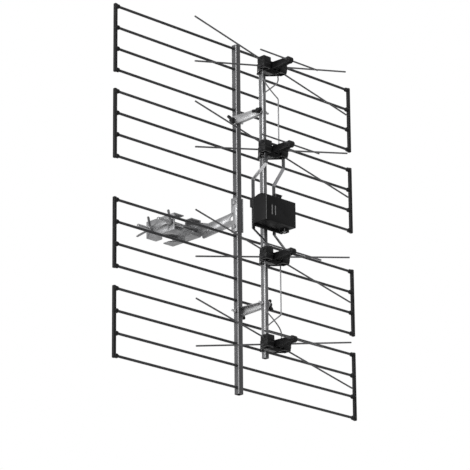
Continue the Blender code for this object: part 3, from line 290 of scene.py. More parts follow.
drawnWire = {
    "dark": (0.11, 0.111, 0.114), "pale": (0.18, 0.181, 0.185), "worn": (0.42, 0.42, 0.43),
    "roughness": (0.30, 0.44), "metallic": 0.55, "specular": 0.5, "bump": 0.00004,
}
zincSheet = {
    "dark": (0.12, 0.121, 0.124), "pale": (0.22, 0.221, 0.225), "worn": (0.70, 0.70, 0.71),
    "roughness": (0.30, 0.46), "metallic": 0.55, "scale": 120.0, "bump": 0.00006,
}
zincBracket = {
    "dark": (0.19, 0.191, 0.194), "pale": (0.31, 0.311, 0.315), "worn": (0.74, 0.74, 0.75),
    "roughness": (0.28, 0.42), "metallic": 0.5, "scale": 120.0, "bump": 0.00005,
}
zincScrew = {
    "dark": (0.15, 0.15, 0.152), "pale": (0.25, 0.25, 0.255), "worn": (0.50, 0.50, 0.51),
    "roughness": (0.26, 0.40), "metallic": 0.75, "scale": 380.0, "bump": 0.00004,
}
# the worn colour is set pale, so worn edges and rims also carry a painted highlight
mouldedPlastic = {
    "dark": (0.0045, 0.0045, 0.0047), "pale": (0.0095, 0.0095, 0.0098), "worn": (0.11, 0.11, 0.11),
    "roughness": (0.34, 0.52), "specular": 0.09, "scale": 1100.0, "bump": 0.00010,
}
boxPlastic = {
    "dark": (0.0034, 0.0034, 0.0036), "pale": (0.0064, 0.0064, 0.0067), "worn": (0.26, 0.26, 0.26),
    "roughness": (0.34, 0.52), "specular": 0.07, "scale": 900.0, "bump": 0.00010,
    # corner: painted highlight along the box's rounded upright corners, in its worn colour
    "corner": 0.9, "edgeShare": 0.2, "markShare": 0.015,
}
# painted highlight for the front faces of the box ribs
ribHighlightPlastic = {
    "dark": (0.13, 0.13, 0.13), "pale": (0.24, 0.24, 0.24), "worn": (0.34, 0.34, 0.34),
    "roughness": (0.40, 0.56), "specular": 0.2, "scale": 900.0, "bump": 0.00010,
}
# painted highlight for the insulators' undersides
undersideLightPlastic = {
    "dark": (0.085, 0.085, 0.085), "pale": (0.14, 0.14, 0.14), "worn": (0.20, 0.20, 0.20),
    "roughness": (0.42, 0.58), "specular": 0.1, "scale": 900.0, "bump": 0.00010,
}
# painted shade for the underside between the blocks
recessShadePlastic = {
    "dark": (0.0030, 0.0030, 0.0031), "pale": (0.0060, 0.0060, 0.0062), "worn": (0.020, 0.020, 0.020),
    "roughness": (0.60, 0.75), "specular": 0.02, "scale": 1100.0, "bump": 0.00010,
}
boardGrain = {"cloud": 60.0, "toneRange": (0.4, 1.2), "glossRange": (0.3, 0.7), "roughness": (0.3, 0.45)}
boardLook = {"dark": (0.010, 0.055, 0.022), "pale": (0.020, 0.095, 0.040), "weave": 900.0, "bump": 0.00005}
ferriteLook = {"dark": (0.012, 0.012, 0.013), "pale": (0.030, 0.029, 0.029), "weave": 350.0, "bump": 0.00008}


def boardMaterial(name, look):      # weave under resist, or the fine grain of pressed ferrite
    material, tree, shader = startMaterial(name)
    place, turned = objectPlace(tree), objectPlace(tree, turn=(0, math.pi / 2, 0))
    across = addNode(tree, "ShaderNodeTexWave", [("Vector", place), ("Scale", look["weave"])])
    upright = addNode(tree, "ShaderNodeTexWave", [("Vector", turned), ("Scale", look["weave"])])
    weave = maths(tree, "MULTIPLY", across.outputs["Fac"], upright.outputs["Fac"])
    cloud = noise(tree, place, boardGrain["cloud"])
    share = remap(tree, maths(tree, "ADD", weave, cloud), *boardGrain["toneRange"])
    colour = blendColour(tree, share, look["dark"], look["pale"])
    rough = remap(tree, cloud, *boardGrain["glossRange"], *boardGrain["roughness"])
    finishMaterial(tree, shader, look, colour, rough, weave)
    return material


materials = {
    "rod": wornMaterial("coated rod", coatedRod, rodKind),
    "element": wornMaterial("drawn element rod", elementRod, rodKind),
    "boom": wornMaterial("drawn boom tube", boomTube, tubeKind),
    "carrier": wornMaterial("drawn carrier tube", carrierTube, tubeKind),
    "strip right": wornMaterial("rolled feed strip", rolledStrip, tubeKind),
    # the left strip gets the stronger painted highlight
    "strip left": wornMaterial("feed strip with stronger painted highlight", strongHighlightStrip, tubeKind),
    "wire": wornMaterial("drawn feed wire", drawnWire, tubeKind),
    "zinc": wornMaterial("zinc plated sheet", zincSheet, zincKind),
    "bracket": wornMaterial("zinc plated bracket", zincBracket, zincKind),
    "screw": wornMaterial("zinc plated screw", zincScrew, zincKind),
    "plastic": wornMaterial("moulded black plastic", mouldedPlastic, plasticKind),
    "box": wornMaterial("moulded box plastic", boxPlastic, plasticKind),
    "rib": wornMaterial("ribs painted highlight", ribHighlightPlastic, plasticKind),
    "rim": wornMaterial("undersides painted pale", undersideLightPlastic, plasticKind),
    "pit": wornMaterial("shaded recesses", recessShadePlastic, plasticKind),
    "board": boardMaterial("glass fibre board", boardLook),
    "ferrite": boardMaterial("pressed ferrite", ferriteLook),
}
print("materials ready:", len(materials))


angles = {"crisp": 35, "edge": 30, "plateEdge": 12, "flat": 1.5}      # degrees between two faces
weld = {"node": 0.000002, "wire": 0.00001, "thread": 0.00002}      # points closer than this are joined
squareOn, nearlyOn = 0.99, 0.9      # least part of a normal that looks along an axis


def shadeMesh(mesh):
    mesh.shade_smooth()
    mesh.set_sharp_from_angle(angle=math.radians(angles["crisp"]))


def finishPiece(name, bm, look, replaced, body="antenna"):
    bmesh.ops.recalc_face_normals(bm, faces=bm.faces)
    mesh = bpy.data.meshes.new(name)
    bm.to_mesh(mesh)
    bm.free()
    mesh.materials.append(materials[look])
    shadeMesh(mesh)
    piece = bpy.data.objects.new(name, mesh)
    scene.collection.objects.link(piece)
    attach(piece, body)
    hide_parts(*replaced)
    return piece


def itemsOf(items, kind):
    return [item for item in items if isinstance(item, kind)]


def pushOut(bm, faces, push):      # extrudes faces, returns the new end faces
    moved = bmesh.ops.extrude_face_region(bm, geom=faces)["geom"]
    bmesh.ops.translate(bm, vec=push, verts=itemsOf(moved, bmesh.types.BMVert))
    return itemsOf(moved, bmesh.types.BMFace)


def soften(bm, edges, width, segments=2):
    bmesh.ops.bevel(bm, geom=list(edges), offset=width, offset_type="OFFSET", segments=segments, profile=0.5,
                    material=-1, affect="EDGES", clamp_overlap=True)


def sharpEdges(bm, kind="edge"):
    limit = math.radians(angles[kind])
    return [edge for edge in bm.edges if len(edge.link_faces) == 2 and edge.calc_face_angle() > limit]


def addPart(bm, part, place=Matrix.Identity(4)):      # another shape goes into the same piece
    mesh = bpy.data.meshes.new("part")
    part.to_mesh(mesh)
    part.free()
    mesh.transform(place)
    bm.from_mesh(mesh)
    bpy.data.meshes.remove(mesh)


def turnedTo(start, end):
    start, end = Vector(start), Vector(end)
    along = end - start
    turn = along.to_track_quat("Z", "X").to_matrix().to_4x4()
    return Matrix.Translation((start + end) / 2) @ turn, along.length


def addRound(bm, start, end, radius, sides=24, soft=0.0, endRadius=None):
    place, length = turnedTo(start, end)
    part = bmesh.new()
    bmesh.ops.create_cone(part, cap_ends=True, segments=sides, radius1=radius,
                          radius2=radius if endRadius is None else endRadius, depth=length)
    if soft:
        rims = {edge for face in part.faces if abs(face.normal.z) > squareOn for edge in face.edges}
        soften(part, rims, soft)
    addPart(bm, part, place)


def addBar(bm, x0, x1, y, z, radius, sides=24, soft=0.0):      # a round bar along X
    addRound(bm, (x0, y, z), (x1, y, z), radius, sides, soft)


def addHexagon(bm, x0, x1, y, z, width, soft):      # along X, width is measured across the flats
    addBar(bm, x0, x1, y, z, width / math.sqrt(3), 6, soft)


def addTurned(bm, spots, centre, axis, steps):      # a closed half section spun about an axis
    part = bmesh.new()
    ring = [part.verts.new(spot) for spot in spots]
    edges = [part.edges.new(pair) for pair in zip(ring, ring[1:] + ring[:1])]
    bmesh.ops.spin(part, geom=ring + edges, cent=centre, axis=axis, angle=2 * math.pi, steps=steps,
                   use_merge=True, use_duplicate=False)
    bmesh.ops.recalc_face_normals(part, faces=part.faces)
    addPart(bm, part)


def startBlock(low, high, soft=0.0, segments=2, top=1.0):      # top is the size of the upper end
    low, high = Vector(low), Vector(high)
    part = bmesh.new()
    place = Matrix.Translation((low + high) / 2) @ Matrix.Diagonal((*(high - low), 1))
    bmesh.ops.create_cube(part, size=1.0, matrix=place)
    if top != 1.0:
        upper = [vert for vert in part.verts if vert.co.z > (low.z + high.z) / 2]
        middle = (low + high) / 2
        bmesh.ops.scale(part, vec=(top, top, 1.0), space=Matrix.Translation(-middle), verts=upper)
    if soft:
        soften(part, part.edges[:], soft, segments)
    return part


def addBlock(bm, low, high, soft=0.0, segments=2, top=1.0):
    addPart(bm, startBlock(low, high, soft, segments, top))


def startPlate(outline, axis, low, high, soft, segments=2):      # an outline pushed out along an axis
    spots = {"x": lambda a, b: (low, a, b), "y": lambda a, b: (a, low, b), "z": lambda a, b: (a, b, low)}
    push = Vector([high - low if key == axis else 0.0 for key in "xyz"])
    part = bmesh.new()
    face = part.faces.new([part.verts.new(spots[axis](a, b)) for a, b in outline])
    pushOut(part, [face], push)
    bmesh.ops.recalc_face_normals(part, faces=part.faces)
    soften(part, sharpEdges(part, "plateEdge"), soft, segments)
    return part


def sinkFaces(part, picks, rim, depth):      # a recess inside the rim of each picked face
    part.normal_update()
    faces = [face for face in part.faces if picks(face)]
    bmesh.ops.inset_individual(part, faces=faces, thickness=rim, depth=-depth, use_even_offset=True)


def softCopy(node, name, look, width, segments=2, body="antenna"):      # a CAD node, edges rounded
    bm = bmesh.new()
    bm.from_mesh(nodes[node].data)
    bmesh.ops.remove_doubles(bm, verts=bm.verts, dist=weld["node"])
    flat = math.radians(angles["flat"])
    bmesh.ops.dissolve_limit(bm, angle_limit=flat, verts=bm.verts, edges=bm.edges)
    soften(bm, sharpEdges(bm), width, segments)
    return finishPiece(name, bm, look, [node], body)


threadShape = {"depth": 0.0006, "sides": 14, "overlap": 0.00005, "coreSides": 20}


def addThread(bm, start, length, radius, pitch, axis):      # a ridge spun up a helix on its core
    start, axis = Vector(start), Vector(axis).normalized()
    side = axis.orthogonal().normalized()
    core = radius - threadShape["depth"]
    part = bmesh.new()
    heights = ((0.0, core), (pitch / 2, radius), (pitch, core))
    verts = [part.verts.new(start + axis * along + side * out) for along, out in heights]
    edges = [part.edges.new(pair) for pair in zip(verts, verts[1:])]
    turns, sides = int(length / pitch) - 1, threadShape["sides"]
    bmesh.ops.spin(part, geom=verts + edges, cent=start, axis=axis, dvec=axis * pitch / sides,
                   angle=2 * math.pi * turns, steps=sides * turns, use_duplicate=False)
    bmesh.ops.remove_doubles(part, verts=part.verts, dist=weld["thread"])
    bmesh.ops.recalc_face_normals(part, faces=part.faces)
    addPart(bm, part)
    addRound(bm, start, start + axis * length, core + threadShape["overlap"],
             threadShape["coreSides"], threadShape["depth"])


def makeStraightRod(node, name, look, radius, plan):      # a round rod along X
    low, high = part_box(node)
    middle = (low + high) / 2
    bm = bmesh.new()
    addBar(bm, low.x, high.x, middle.y, middle.z, radius, plan["sides"], plan["endRound"])
    finishPiece(name, bm, look, [node])


reflectorRod = {"sides": 24, "endRound": 0.0006}
for name in rodNames:
    low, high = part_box(name)
    makeStraightRod(name, name.replace("rod_", "rod."), "rod", (high.z - low.z) / 2, reflectorRod)
print("reflector rods made")

endBar = {
    "outer": 0.0044, "inner": 0.0031, "depth": 0.0078, "soft": 0.0018,      # about the rods' ends
    "end": 0.0056,      # beyond the last rod
    "cupRadius": 0.0052, "cupReach": 0.0088, "cupSoft": 0.0009,
    "lipRadius": 0.0043, "lipReach": 0.0096, "lipSoft": 0.0003,
}


def makeEndBar(name, rods, outward):      # upright bar with a cup on its inner side for each rod
    middle = middleOf(name)
    levels = sorted(middleOf(rod).z for rod in rods)
    deep = endBar["depth"] / 2
    x0, x1 = sorted((middle.x + outward * endBar["outer"], middle.x - outward * endBar["inner"]))
    bm = bmesh.new()
    addBlock(bm, (x0, middle.y - deep, levels[0] - endBar["end"]),
             (x1, middle.y + deep, levels[-1] + endBar["end"]), endBar["soft"], segments=3)
    for level in levels:
        cup, lip = (middle.x - outward * endBar[key] for key in ("cupReach", "lipReach"))
        addBar(bm, middle.x, cup, middle.y, level, endBar["cupRadius"], sides=28, soft=endBar["cupSoft"])
        addBar(bm, middle.x, lip, middle.y, level, endBar["lipRadius"], soft=endBar["lipSoft"])
    finishPiece(name.replace("_", "."), bm, "plastic", [name])


for panel in range(1, 5):      # four rods in each panel
    for word, outward in (("left", -1), ("right", 1)):
        makeEndBar(f"end_bar_{word}_{panel}", rodNames[panel * 4 - 4:panel * 4], outward)
print("end bars made")

squareTube = {"cornerRadius": 0.0024, "cornerSteps": 4, "wall": 0.0013, "holeGap": 0.0003, "beyond": 0.01}


def cutHoles(piece, cutter):
    mesh = bpy.data.meshes.new("cutter")
    cutter.to_mesh(mesh)
    cutter.free()
    tool = bpy.data.objects.new("cutter", mesh)
    scene.collection.objects.link(tool)
    step = piece.modifiers.new("Holes", "BOOLEAN")
    step.operation, step.solver, step.object = "DIFFERENCE", "EXACT", tool
    bpy.context.view_layer.update()
    result = bpy.data.meshes.new_from_object(piece.evaluated_get(bpy.context.evaluated_depsgraph_get()))
    piece.modifiers.clear()
    piece.data = result
    shadeMesh(result)
    bpy.data.objects.remove(tool)


def makeSquareTube(name, crossings):      # crossings are (y, z, radius) of what passes through along X
    low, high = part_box(name)
    bm = startBlock(low, high)
    upright = [edge for edge in bm.edges if edge.verts[0].co.xy == edge.verts[1].co.xy]
    soften(bm, upright, squareTube["cornerRadius"], squareTube["cornerSteps"])
    ends = [face for face in bm.faces if abs(face.normal.z) > squareOn]
    bmesh.ops.inset_individual(bm, faces=ends, thickness=squareTube["wall"], use_even_offset=True)
    bmesh.ops.bridge_loops(bm, edges=[edge for face in ends for edge in face.edges])
    bmesh.ops.delete(bm, geom=[face for face in ends if face.is_valid], context="FACES_ONLY")
    piece = finishPiece(name + ".tube", bm, name, [name])
    cutter, beyond = bmesh.new(), squareTube["beyond"]
    for y, z, radius in crossings:
        addBar(cutter, low.x - beyond, high.x + beyond, y, z, radius + squareTube["holeGap"], sides=20)
    cutHoles(piece, cutter)


crossingRadius = {"rod": 0.003, "armBolt": 0.003, "standoffScrew": 0.0025}
armBoltLevels = (0.028, -0.028)
boomCrossings = [(boomY, middleOf(name).z, crossingRadius["rod"]) for name in rodNames]
boomCrossings += [(boomY, z, crossingRadius["standoffScrew"]) for z in standoffLevels.values()]
boomCrossings += [(boomY, z, crossingRadius["armBolt"]) for z in armBoltLevels]
makeSquareTube("boom", boomCrossings)
makeSquareTube("carrier", [(carrierY, z, crossingRadius["standoffScrew"]) for z in standoffLevels.values()])
print("boom and carrier made")

dipoleRod = {
    "radius": 0.0019, "bendX": 0.0225, "halfSpan": 0.240, "halfHeight": 0.053,
    "sides": 20, "bendSteps": 12, "endRound": 0.0004, "atEnd": 0.001,
}


def makeDipole(name):      # straight leg, round bend in the terminal, straight leg
    middle = middleOf(name)
    level = middle.z
    side = 1 if middle.x > boomX else -1
    rise = dipoleRod["halfHeight"] / dipoleRod["halfSpan"]
    slope = Vector((side, 0.0, rise)).normalized()
    tip = Vector((boomX + side * dipoleRod["halfSpan"], middle.y, level + dipoleRod["halfHeight"]))
    start = Vector((boomX + side * dipoleRod["bendX"], middle.y, level + dipoleRod["bendX"] * rise))
    bendRadius = (start.z - level) / abs(slope.x)
    centre = Vector((start.x + side * bendRadius * slope.z, middle.y, level))
    turn = turnedTo(tip, start)[0].to_3x3().to_4x4()
    bm = bmesh.new()
    bmesh.ops.create_circle(bm, cap_ends=True, segments=dipoleRod["sides"], radius=dipoleRod["radius"],
                            matrix=Matrix.Translation(tip) @ turn)
    moved = pushOut(bm, bm.faces[:], start - tip)
    sweep = math.pi - 2 * math.atan(rise)
    turned = bmesh.ops.spin(bm, geom=moved, cent=centre, axis=(0, -side, 0), angle=sweep,
                            steps=dipoleRod["bendSteps"], use_duplicate=False)["geom_last"]
    lower = Vector((tip.x, tip.y, 2 * level - tip.z))
    lowerStart = Vector((start.x, start.y, 2 * level - start.z))
    pushOut(bm, itemsOf(turned, bmesh.types.BMFace), lower - lowerStart)
    caps = [face for face in bm.faces if len(face.verts) == dipoleRod["sides"]]
    inside = [face for face in caps      # left over at the joins, not at the two ends
              if min((face.calc_center_median() - end).length for end in (tip, lower)) > dipoleRod["atEnd"]]
    bmesh.ops.delete(bm, geom=inside, context="FACES_ONLY")
    rims = {edge for face in caps if face.is_valid for edge in face.edges}
    soften(bm, rims, dipoleRod["endRound"])
    finishPiece(name.replace("_", "."), bm, "element", [name])


for bay in bayLevels:
    makeDipole(f"dipole_left_{bay}")
    makeDipole(f"dipole_right_{bay}")
    makeStraightRod(f"director_{bay}", f"director.{bay}", "element", dipoleRod["radius"], dipoleRod)
print("dipoles and directors made")

insulator = {
    "inner": 0.0145, "outer": 0.0375, "back": 0.022, "front": 0.044,      # blocks, before the carrier
    "top": 0.015, "seam": 0.0005, "bottom": 0.0125, "topTaper": 0.98, "footTaper": 0.86, "soft": 0.0014,
    "skirt": 0.0016, "hollow": 0.0055, "neckInset": 0.001, "neckHalf": 0.002,
    "screwRadius": 0.0045, "screwSunk": 0.001, "screwRise": 0.0004, "screwSoft": 0.0003,
    "plateWide": 0.0339, "plateNarrow": 0.0122, "plateBack": 0.0235, "plateTop": 0.0079,
    "plateBottom": 0.0119, "plateRim": 0.0013, "plateSink": 0.0034, "plateSoft": 0.0006,
    "boxes": (      # two corners and the rounding
        ((-0.0155, -0.040, -0.0119), (0.0155, -0.0215, -0.0095), 0.0004),      # web between the blocks
        ((-0.0160, -0.025, -0.011), (0.0160, -0.0066, 0.0092), 0.0010),      # bridge behind them
        ((-0.0081, -0.0081, -0.0107), (0.0081, 0.0081, 0.015), 0.0008),      # sleeve on the carrier
        ((-0.0089, -0.0089, -0.0107), (0.0089, 0.0089, -0.0067), 0.0006),      # its collar
    ),
    "armHalf": 0.0065, "armFrom": 0.012, "armTo": 0.082, "armTop": 0.0085, "armTip": 0.0068,
    "armSoft": 0.0010, "gusset": 0.046, "foot": 0.0101,
    "groove": 0.0026, "grooveDepth": 0.0013, "grooveArea": 0.0002,      # areas pick the broad faces
    "underRim": 0.0018, "underDepth": 0.003, "underArea": 0.0001,
    "eye": 0.086, "eyeRadius": 0.0074, "eyeSoft": 0.0010,
    "bossRadius": 0.00407, "bossRise": 0.0007, "bossSoft": 0.0004,
    "undersideFrom": 0.006,      # below the middle of the bay
}


def addTerminalBlock(bm, side):      # two halves with a seam, the lower one hollow and narrowing
    x0, x1 = sorted((side * insulator["inner"], side * insulator["outer"]))
    y0, y1 = -insulator["front"], -insulator["back"]
    seam, soft, top = (insulator[key] for key in ("seam", "soft", "top"))
    middle, shrink = ((x0 + x1) / 2, (y0 + y1) / 2), insulator["footTaper"]
    wide, deep = (x1 - x0) / 2 * shrink, (y1 - y0) / 2 * shrink
    lower = startBlock((middle[0] - wide, middle[1] - deep, -insulator["bottom"]),
                       (middle[0] + wide, middle[1] + deep, -seam), soft, top=1 / shrink)
    sinkFaces(lower, lambda face: face.normal.z < -squareOn, insulator["skirt"], insulator["hollow"])
    addPart(bm, lower)
    addBlock(bm, (x0, y0, seam), (x1, y1, top), soft, segments=3, top=insulator["topTaper"])
    inset, neck = insulator["neckInset"], insulator["neckHalf"]
    addBlock(bm, (x0 + inset, y0 + inset, -neck), (x1 - inset, y1 - inset, neck))
    addRound(bm, (*middle, top - insulator["screwSunk"]), (*middle, top + insulator["screwRise"]),
             insulator["screwRadius"], soft=insulator["screwSoft"])


def addFloorPlate(bm):      # hollow plate behind the blocks
    wide, narrow, back = insulator["plateWide"], insulator["plateNarrow"], insulator["plateBack"]
    rear = startPlate([(-wide, -back), (wide, -back), (narrow, 0.0), (-narrow, 0.0)], "z",
                      -insulator["plateBottom"], -insulator["plateTop"], insulator["plateSoft"])
    sinkFaces(rear, lambda face: face.normal.z < -squareOn, insulator["plateRim"], insulator["plateSink"])
    addPart(bm, rear)


def addDirectorArm(bm):      # tapered, grooved at its sides, hollow below, with an eye for the director
    start, end, half = insulator["armFrom"], insulator["armTo"], insulator["armHalf"]
    tip, foot = insulator["armTip"], insulator["foot"]
    outline = [(-start, insulator["armTop"]), (-end, tip), (-end, -tip), (-insulator["gusset"], -foot),
               (-start, -foot)]
    arm = startPlate(outline, "x", -half, half, insulator["armSoft"])
    sinkFaces(arm, lambda face: abs(face.normal.x) > squareOn and face.calc_area() > insulator["grooveArea"],
              insulator["groove"], insulator["grooveDepth"])
    sinkFaces(arm, lambda face: face.normal.z < -nearlyOn and face.calc_area() > insulator["underArea"],
              insulator["underRim"], insulator["underDepth"])
    addPart(bm, arm)
    y, boss = -insulator["eye"], half + insulator["bossRise"]
    addBar(bm, -half, half, y, 0.0, insulator["eyeRadius"], sides=32, soft=insulator["eyeSoft"])
    addBar(bm, -boss, boss, y, 0.0, insulator["bossRadius"], soft=insulator["bossSoft"])


def shadeUnderside(piece, level):      # painted light: undersides are painted pale, the one between the blocks gets painted shade
    for look in ("rim", "pit"):
        piece.data.materials.append(materials[look])
    for face in piece.data.polygons:
        across, forward, down = abs(face.center.x - boomX), carrierY - face.center.y, level - face.center.z
        if face.normal.z < -nearlyOn and down > insulator["undersideFrom"]:
            between = across < insulator["inner"] and forward > insulator["back"]
            face.material_index = 2 if between else 1


def makeInsulator(bay):
    bm = bmesh.new()
    for side in (-1, 1):
        addTerminalBlock(bm, side)
    addFloorPlate(bm)
    for low, high, soft in insulator["boxes"]:
        addBlock(bm, low, high, soft)
    addDirectorArm(bm)
    bmesh.ops.translate(bm, vec=(boomX, carrierY, bayLevels[bay]), verts=bm.verts)
    piece = finishPiece(f"insulator.{bay}", bm, "plastic", [f"insulator_{bay}"])
    shadeUnderside(piece, bayLevels[bay])


for bay in bayLevels:
    makeInsulator(bay)
print("insulators made")

feedWire = {
    "radius": 0.0015, "roundness": 4, "x": 0.024, "depth": 0.0262, "seat": 0.010, "lead": 0.006,
    "crossing": 0.052, "curve": 0.45, "bulge": 0.004, "steps": 24, "bend": 0.004,
}


def wireRoute(side, start, end, sign):      # the CAD's line for one wire, finer
    slope = 1 / (1 - feedWire["curve"] / 2)
    points = [Vector((-side * feedWire["x"], 0.0, start + sign * feedWire["seat"]))]
    for i in range(feedWire["steps"] + 1):
        t = i / feedWire["steps"]
        ease = slope * (t * t / feedWire["curve"] / 2 if t < feedWire["curve"] else t - feedWire["curve"] / 2)
        bulge = side * feedWire["bulge"] * math.sin(math.pi * t)
        z = start - sign * (feedWire["lead"] + feedWire["crossing"] * t)
        points.append(Vector((side * feedWire["x"] * (2 * ease - 1), bulge, z)))
    corner = points.pop()
    last = Vector((side * feedWire["x"], 0.0, end - sign * feedWire["seat"]))
    before = corner + (points[-1] - corner).normalized() * feedWire["bend"] / 2
    after = corner + (last - corner).normalized() * feedWire["bend"] / 2
    points += [before, (before + after + 2 * corner) / 4, after, last]
    return [point + Vector((boomX, carrierY - feedWire["depth"], 0.0)) for point in points]


def makeWire(name, route):      # a round curve along the route, made a mesh
    curve = bpy.data.curves.new(name, "CURVE")
    curve.dimensions, curve.use_fill_caps = "3D", True
    curve.bevel_depth, curve.bevel_resolution = feedWire["radius"], feedWire["roundness"]
    spline = curve.splines.new("POLY")
    spline.points.add(len(route) - 1)
    for point, spot in zip(spline.points, route):
        point.co = (*spot, 1.0)
    item = bpy.data.objects.new(name, curve)
    scene.collection.objects.link(item)
    bpy.context.view_layer.update()
    mesh = bpy.data.meshes.new_from_object(item.evaluated_get(bpy.context.evaluated_depsgraph_get()))
    bm = bmesh.new()
    bm.from_mesh(mesh)
    bmesh.ops.remove_doubles(bm, verts=bm.verts, dist=weld["wire"])
    bpy.data.objects.remove(item)
    finishPiece(name.replace("_", "."), bm, "wire", [name])


stripSoft = 0.0003
blockTop, blockBottom = insulator["top"], insulator["bottom"]
wireEnds = {"upper": (bayLevels[1] - blockBottom, bayLevels[2] + blockTop, 1),
            "lower": (bayLevels[4] + blockTop, bayLevels[3] - blockBottom, -1)}
for word, (start, end, sign) in wireEnds.items():
    makeWire(f"phasing_wire_{word}_a", wireRoute(1, start, end, sign))
    makeWire(f"phasing_wire_{word}_b", wireRoute(-1, start, end, sign))
for word in ("left", "right"):
    softCopy(f"feed_strip_{word}", f"feed.strip.{word}", f"strip {word}", stripSoft)
print("feed wires and strips made")

standoff = {
    "face": 0.0078, "sheet": 0.0018, "soft": 0.0005,
    "boomEnd": 0.0105, "carrierEnd": 0.0075, "endSteps": 40, "flat": 0.01,      # round ends of the web
    "boomClear": 0.009, "carrierClear": 0.0078, "flangeInset": 0.0005, "flangeFrom": -0.0002,
    "flangeTo": 0.00942, "boomHalf": 0.0075, "carrierHalf": 0.00625,
    "gap": 0.0003, "tail": 0.012, "pitch": 0.0008, "nutWidth": 0.008, "nutHeight": 0.004, "nutSoft": 0.0004,
    "washerRadius": 0.007475, "washerHeight": 0.0012, "washerSoft": 0.0003,
    "hubRadius": 0.0065, "hubTopRadius": 0.00559, "hubFrom": 0.0012, "hubTo": 0.009, "hubSoft": 0.0012,
    "wing": ((0.0052, 0.0016), (0.010792, 0.00272), (0.0142, 0.007056), (0.013916, 0.010584),
             (0.012496, 0.012222), (0.00994, 0.0126), (0.003575, 0.0092)),      # half, up from the sheet
    "wingHalf": 0.0028, "wingSoft": 0.0012, "wingRim": 0.0016, "wingSink": 0.0006, "wingArea": 0.00005,
    "turns": {"upper": (37, 90), "lower": (-10, 14)},      # degrees from upright, at boom and carrier
}


def addStandoffWeb(bm):      # a sheet with a round end about each screw
    web = bmesh.new()
    upright = Matrix.Rotation(math.pi / 2, 4, "Y")
    for y, radius in ((boomY, standoff["boomEnd"]), (carrierY, standoff["carrierEnd"])):
        bmesh.ops.create_circle(web, segments=standoff["endSteps"], radius=radius,
                                matrix=Matrix.Translation((0, y, 0)) @ upright)
    hull = bmesh.ops.convex_hull(web, input=web.verts)
    loose = itemsOf(hull["geom_interior"], bmesh.types.BMVert)
    bmesh.ops.delete(web, geom=loose, context="VERTS")
    bmesh.ops.dissolve_limit(web, angle_limit=standoff["flat"], verts=web.verts, edges=web.edges)
    bmesh.ops.delete(web, geom=web.faces[1:], context="FACES_ONLY")
    pushOut(web, web.faces[:], (standoff["sheet"], 0, 0))
    bmesh.ops.recalc_face_normals(web, faces=web.faces)
    soften(web, sharpEdges(web), standoff["soft"])
    addPart(bm, web, Matrix.Translation((standoff["face"], 0, 0)))


def addStandoffFlange(bm, up):      # along the upper or lower edge of the web
    rows = []
    for y in (carrierY + standoff["carrierClear"], boomY - standoff["boomClear"]):
        share = (y - carrierY) / (boomY - carrierY)
        edge = standoff["carrierEnd"] * (1 - share) + standoff["boomEnd"] * share
        rows.append((y, up * (edge - standoff["flangeInset"])))
    inner = [(y, z - up * standoff["sheet"]) for y, z in reversed(rows)]
    addPart(bm, startPlate(rows + inner, "x", standoff["flangeFrom"], standoff["flangeTo"], standoff["soft"]))


def makeStandoffSheet(word, side, level):
    bm = bmesh.new()
    addStandoffWeb(bm)
    for up in (-1, 1):
        addStandoffFlange(bm, up)
    place = Matrix.Translation((boomX, 0, level)) @ Matrix.Diagonal((side, 1, 1, 1))
    bmesh.ops.transform(bm, matrix=place, verts=bm.verts)
    finishPiece(f"standoff.{word}.sheet", bm, "bracket", [f"standoff_{word}"])


def makeStandoffScrew(name, side, y, half, level, node):
    bm = bmesh.new()
    radius, tail = crossingRadius["standoffScrew"], standoff["tail"]
    start = boomX + side * (standoff["face"] + standoff["sheet"])
    nut = boomX - side * (half + standoff["gap"])
    addBar(bm, start, boomX - side * half, y, level, radius, sides=20)
    addThread(bm, (nut - side * tail, y, level), tail, radius, standoff["pitch"], (side, 0, 0))
    addHexagon(bm, nut, nut - side * standoff["nutHeight"], y, level, standoff["nutWidth"],
               standoff["nutSoft"])
    addBar(bm, start, start + side * standoff["washerHeight"], y, level, standoff["washerRadius"],
           soft=standoff["washerSoft"])
    finishPiece(name + ".screw", bm, "screw", [node])


def makeWingHead(name, side, y, level, degrees, node):
    bm = bmesh.new()
    addRound(bm, (0, 0, standoff["hubFrom"]), (0, 0, standoff["hubTo"]), standoff["hubRadius"],
             sides=28, soft=standoff["hubSoft"], endRadius=standoff["hubTopRadius"])
    outline = [*standoff["wing"], *((-a, b) for a, b in reversed(standoff["wing"]))]
    half = standoff["wingHalf"]
    wings = startPlate(outline, "y", -half, half, standoff["wingSoft"], segments=3)
    sinkFaces(wings, lambda face: abs(face.normal.y) > squareOn and face.calc_area() > standoff["wingArea"],
              standoff["wingRim"], standoff["wingSink"])
    addPart(bm, wings)
    s, c = math.sin(math.radians(degrees)), math.cos(math.radians(degrees))
    foot = boomX + side * (standoff["face"] + standoff["sheet"])
    turn = Matrix(((0, 0, side, foot), (s, c, 0, y), (c, -s, 0, level), (0, 0, 0, 1)))
    bmesh.ops.transform(bm, matrix=turn, verts=bm.verts)
    finishPiece(name + ".wings", bm, "plastic", [node])


for word, level in standoffLevels.items():
    side = -1 if level > 0 else 1
    makeStandoffSheet(word, side, level)
    for place, y, degrees in zip(("boom", "carrier"), (boomY, carrierY), standoff["turns"][word]):
        name, node = f"standoff.{word}.{place}", f"standoff_{word}"
        makeStandoffScrew(name, side, y, standoff[place + "Half"], level, node)
        makeWingHead(name, side, y, level, degrees, node)
print("standoffs made")

clampLook = {"armSoft": 0.0004, "jawSoft": 0.0003}
softCopy("clamp_arm", "clamp.arm", "zinc", clampLook["armSoft"])
softCopy("inner_jaw", "inner.jaw", "zinc", clampLook["jawSoft"])
softCopy("outer_jaw", "outer.jaw", "zinc", clampLook["jawSoft"], body="clamp_jaw")

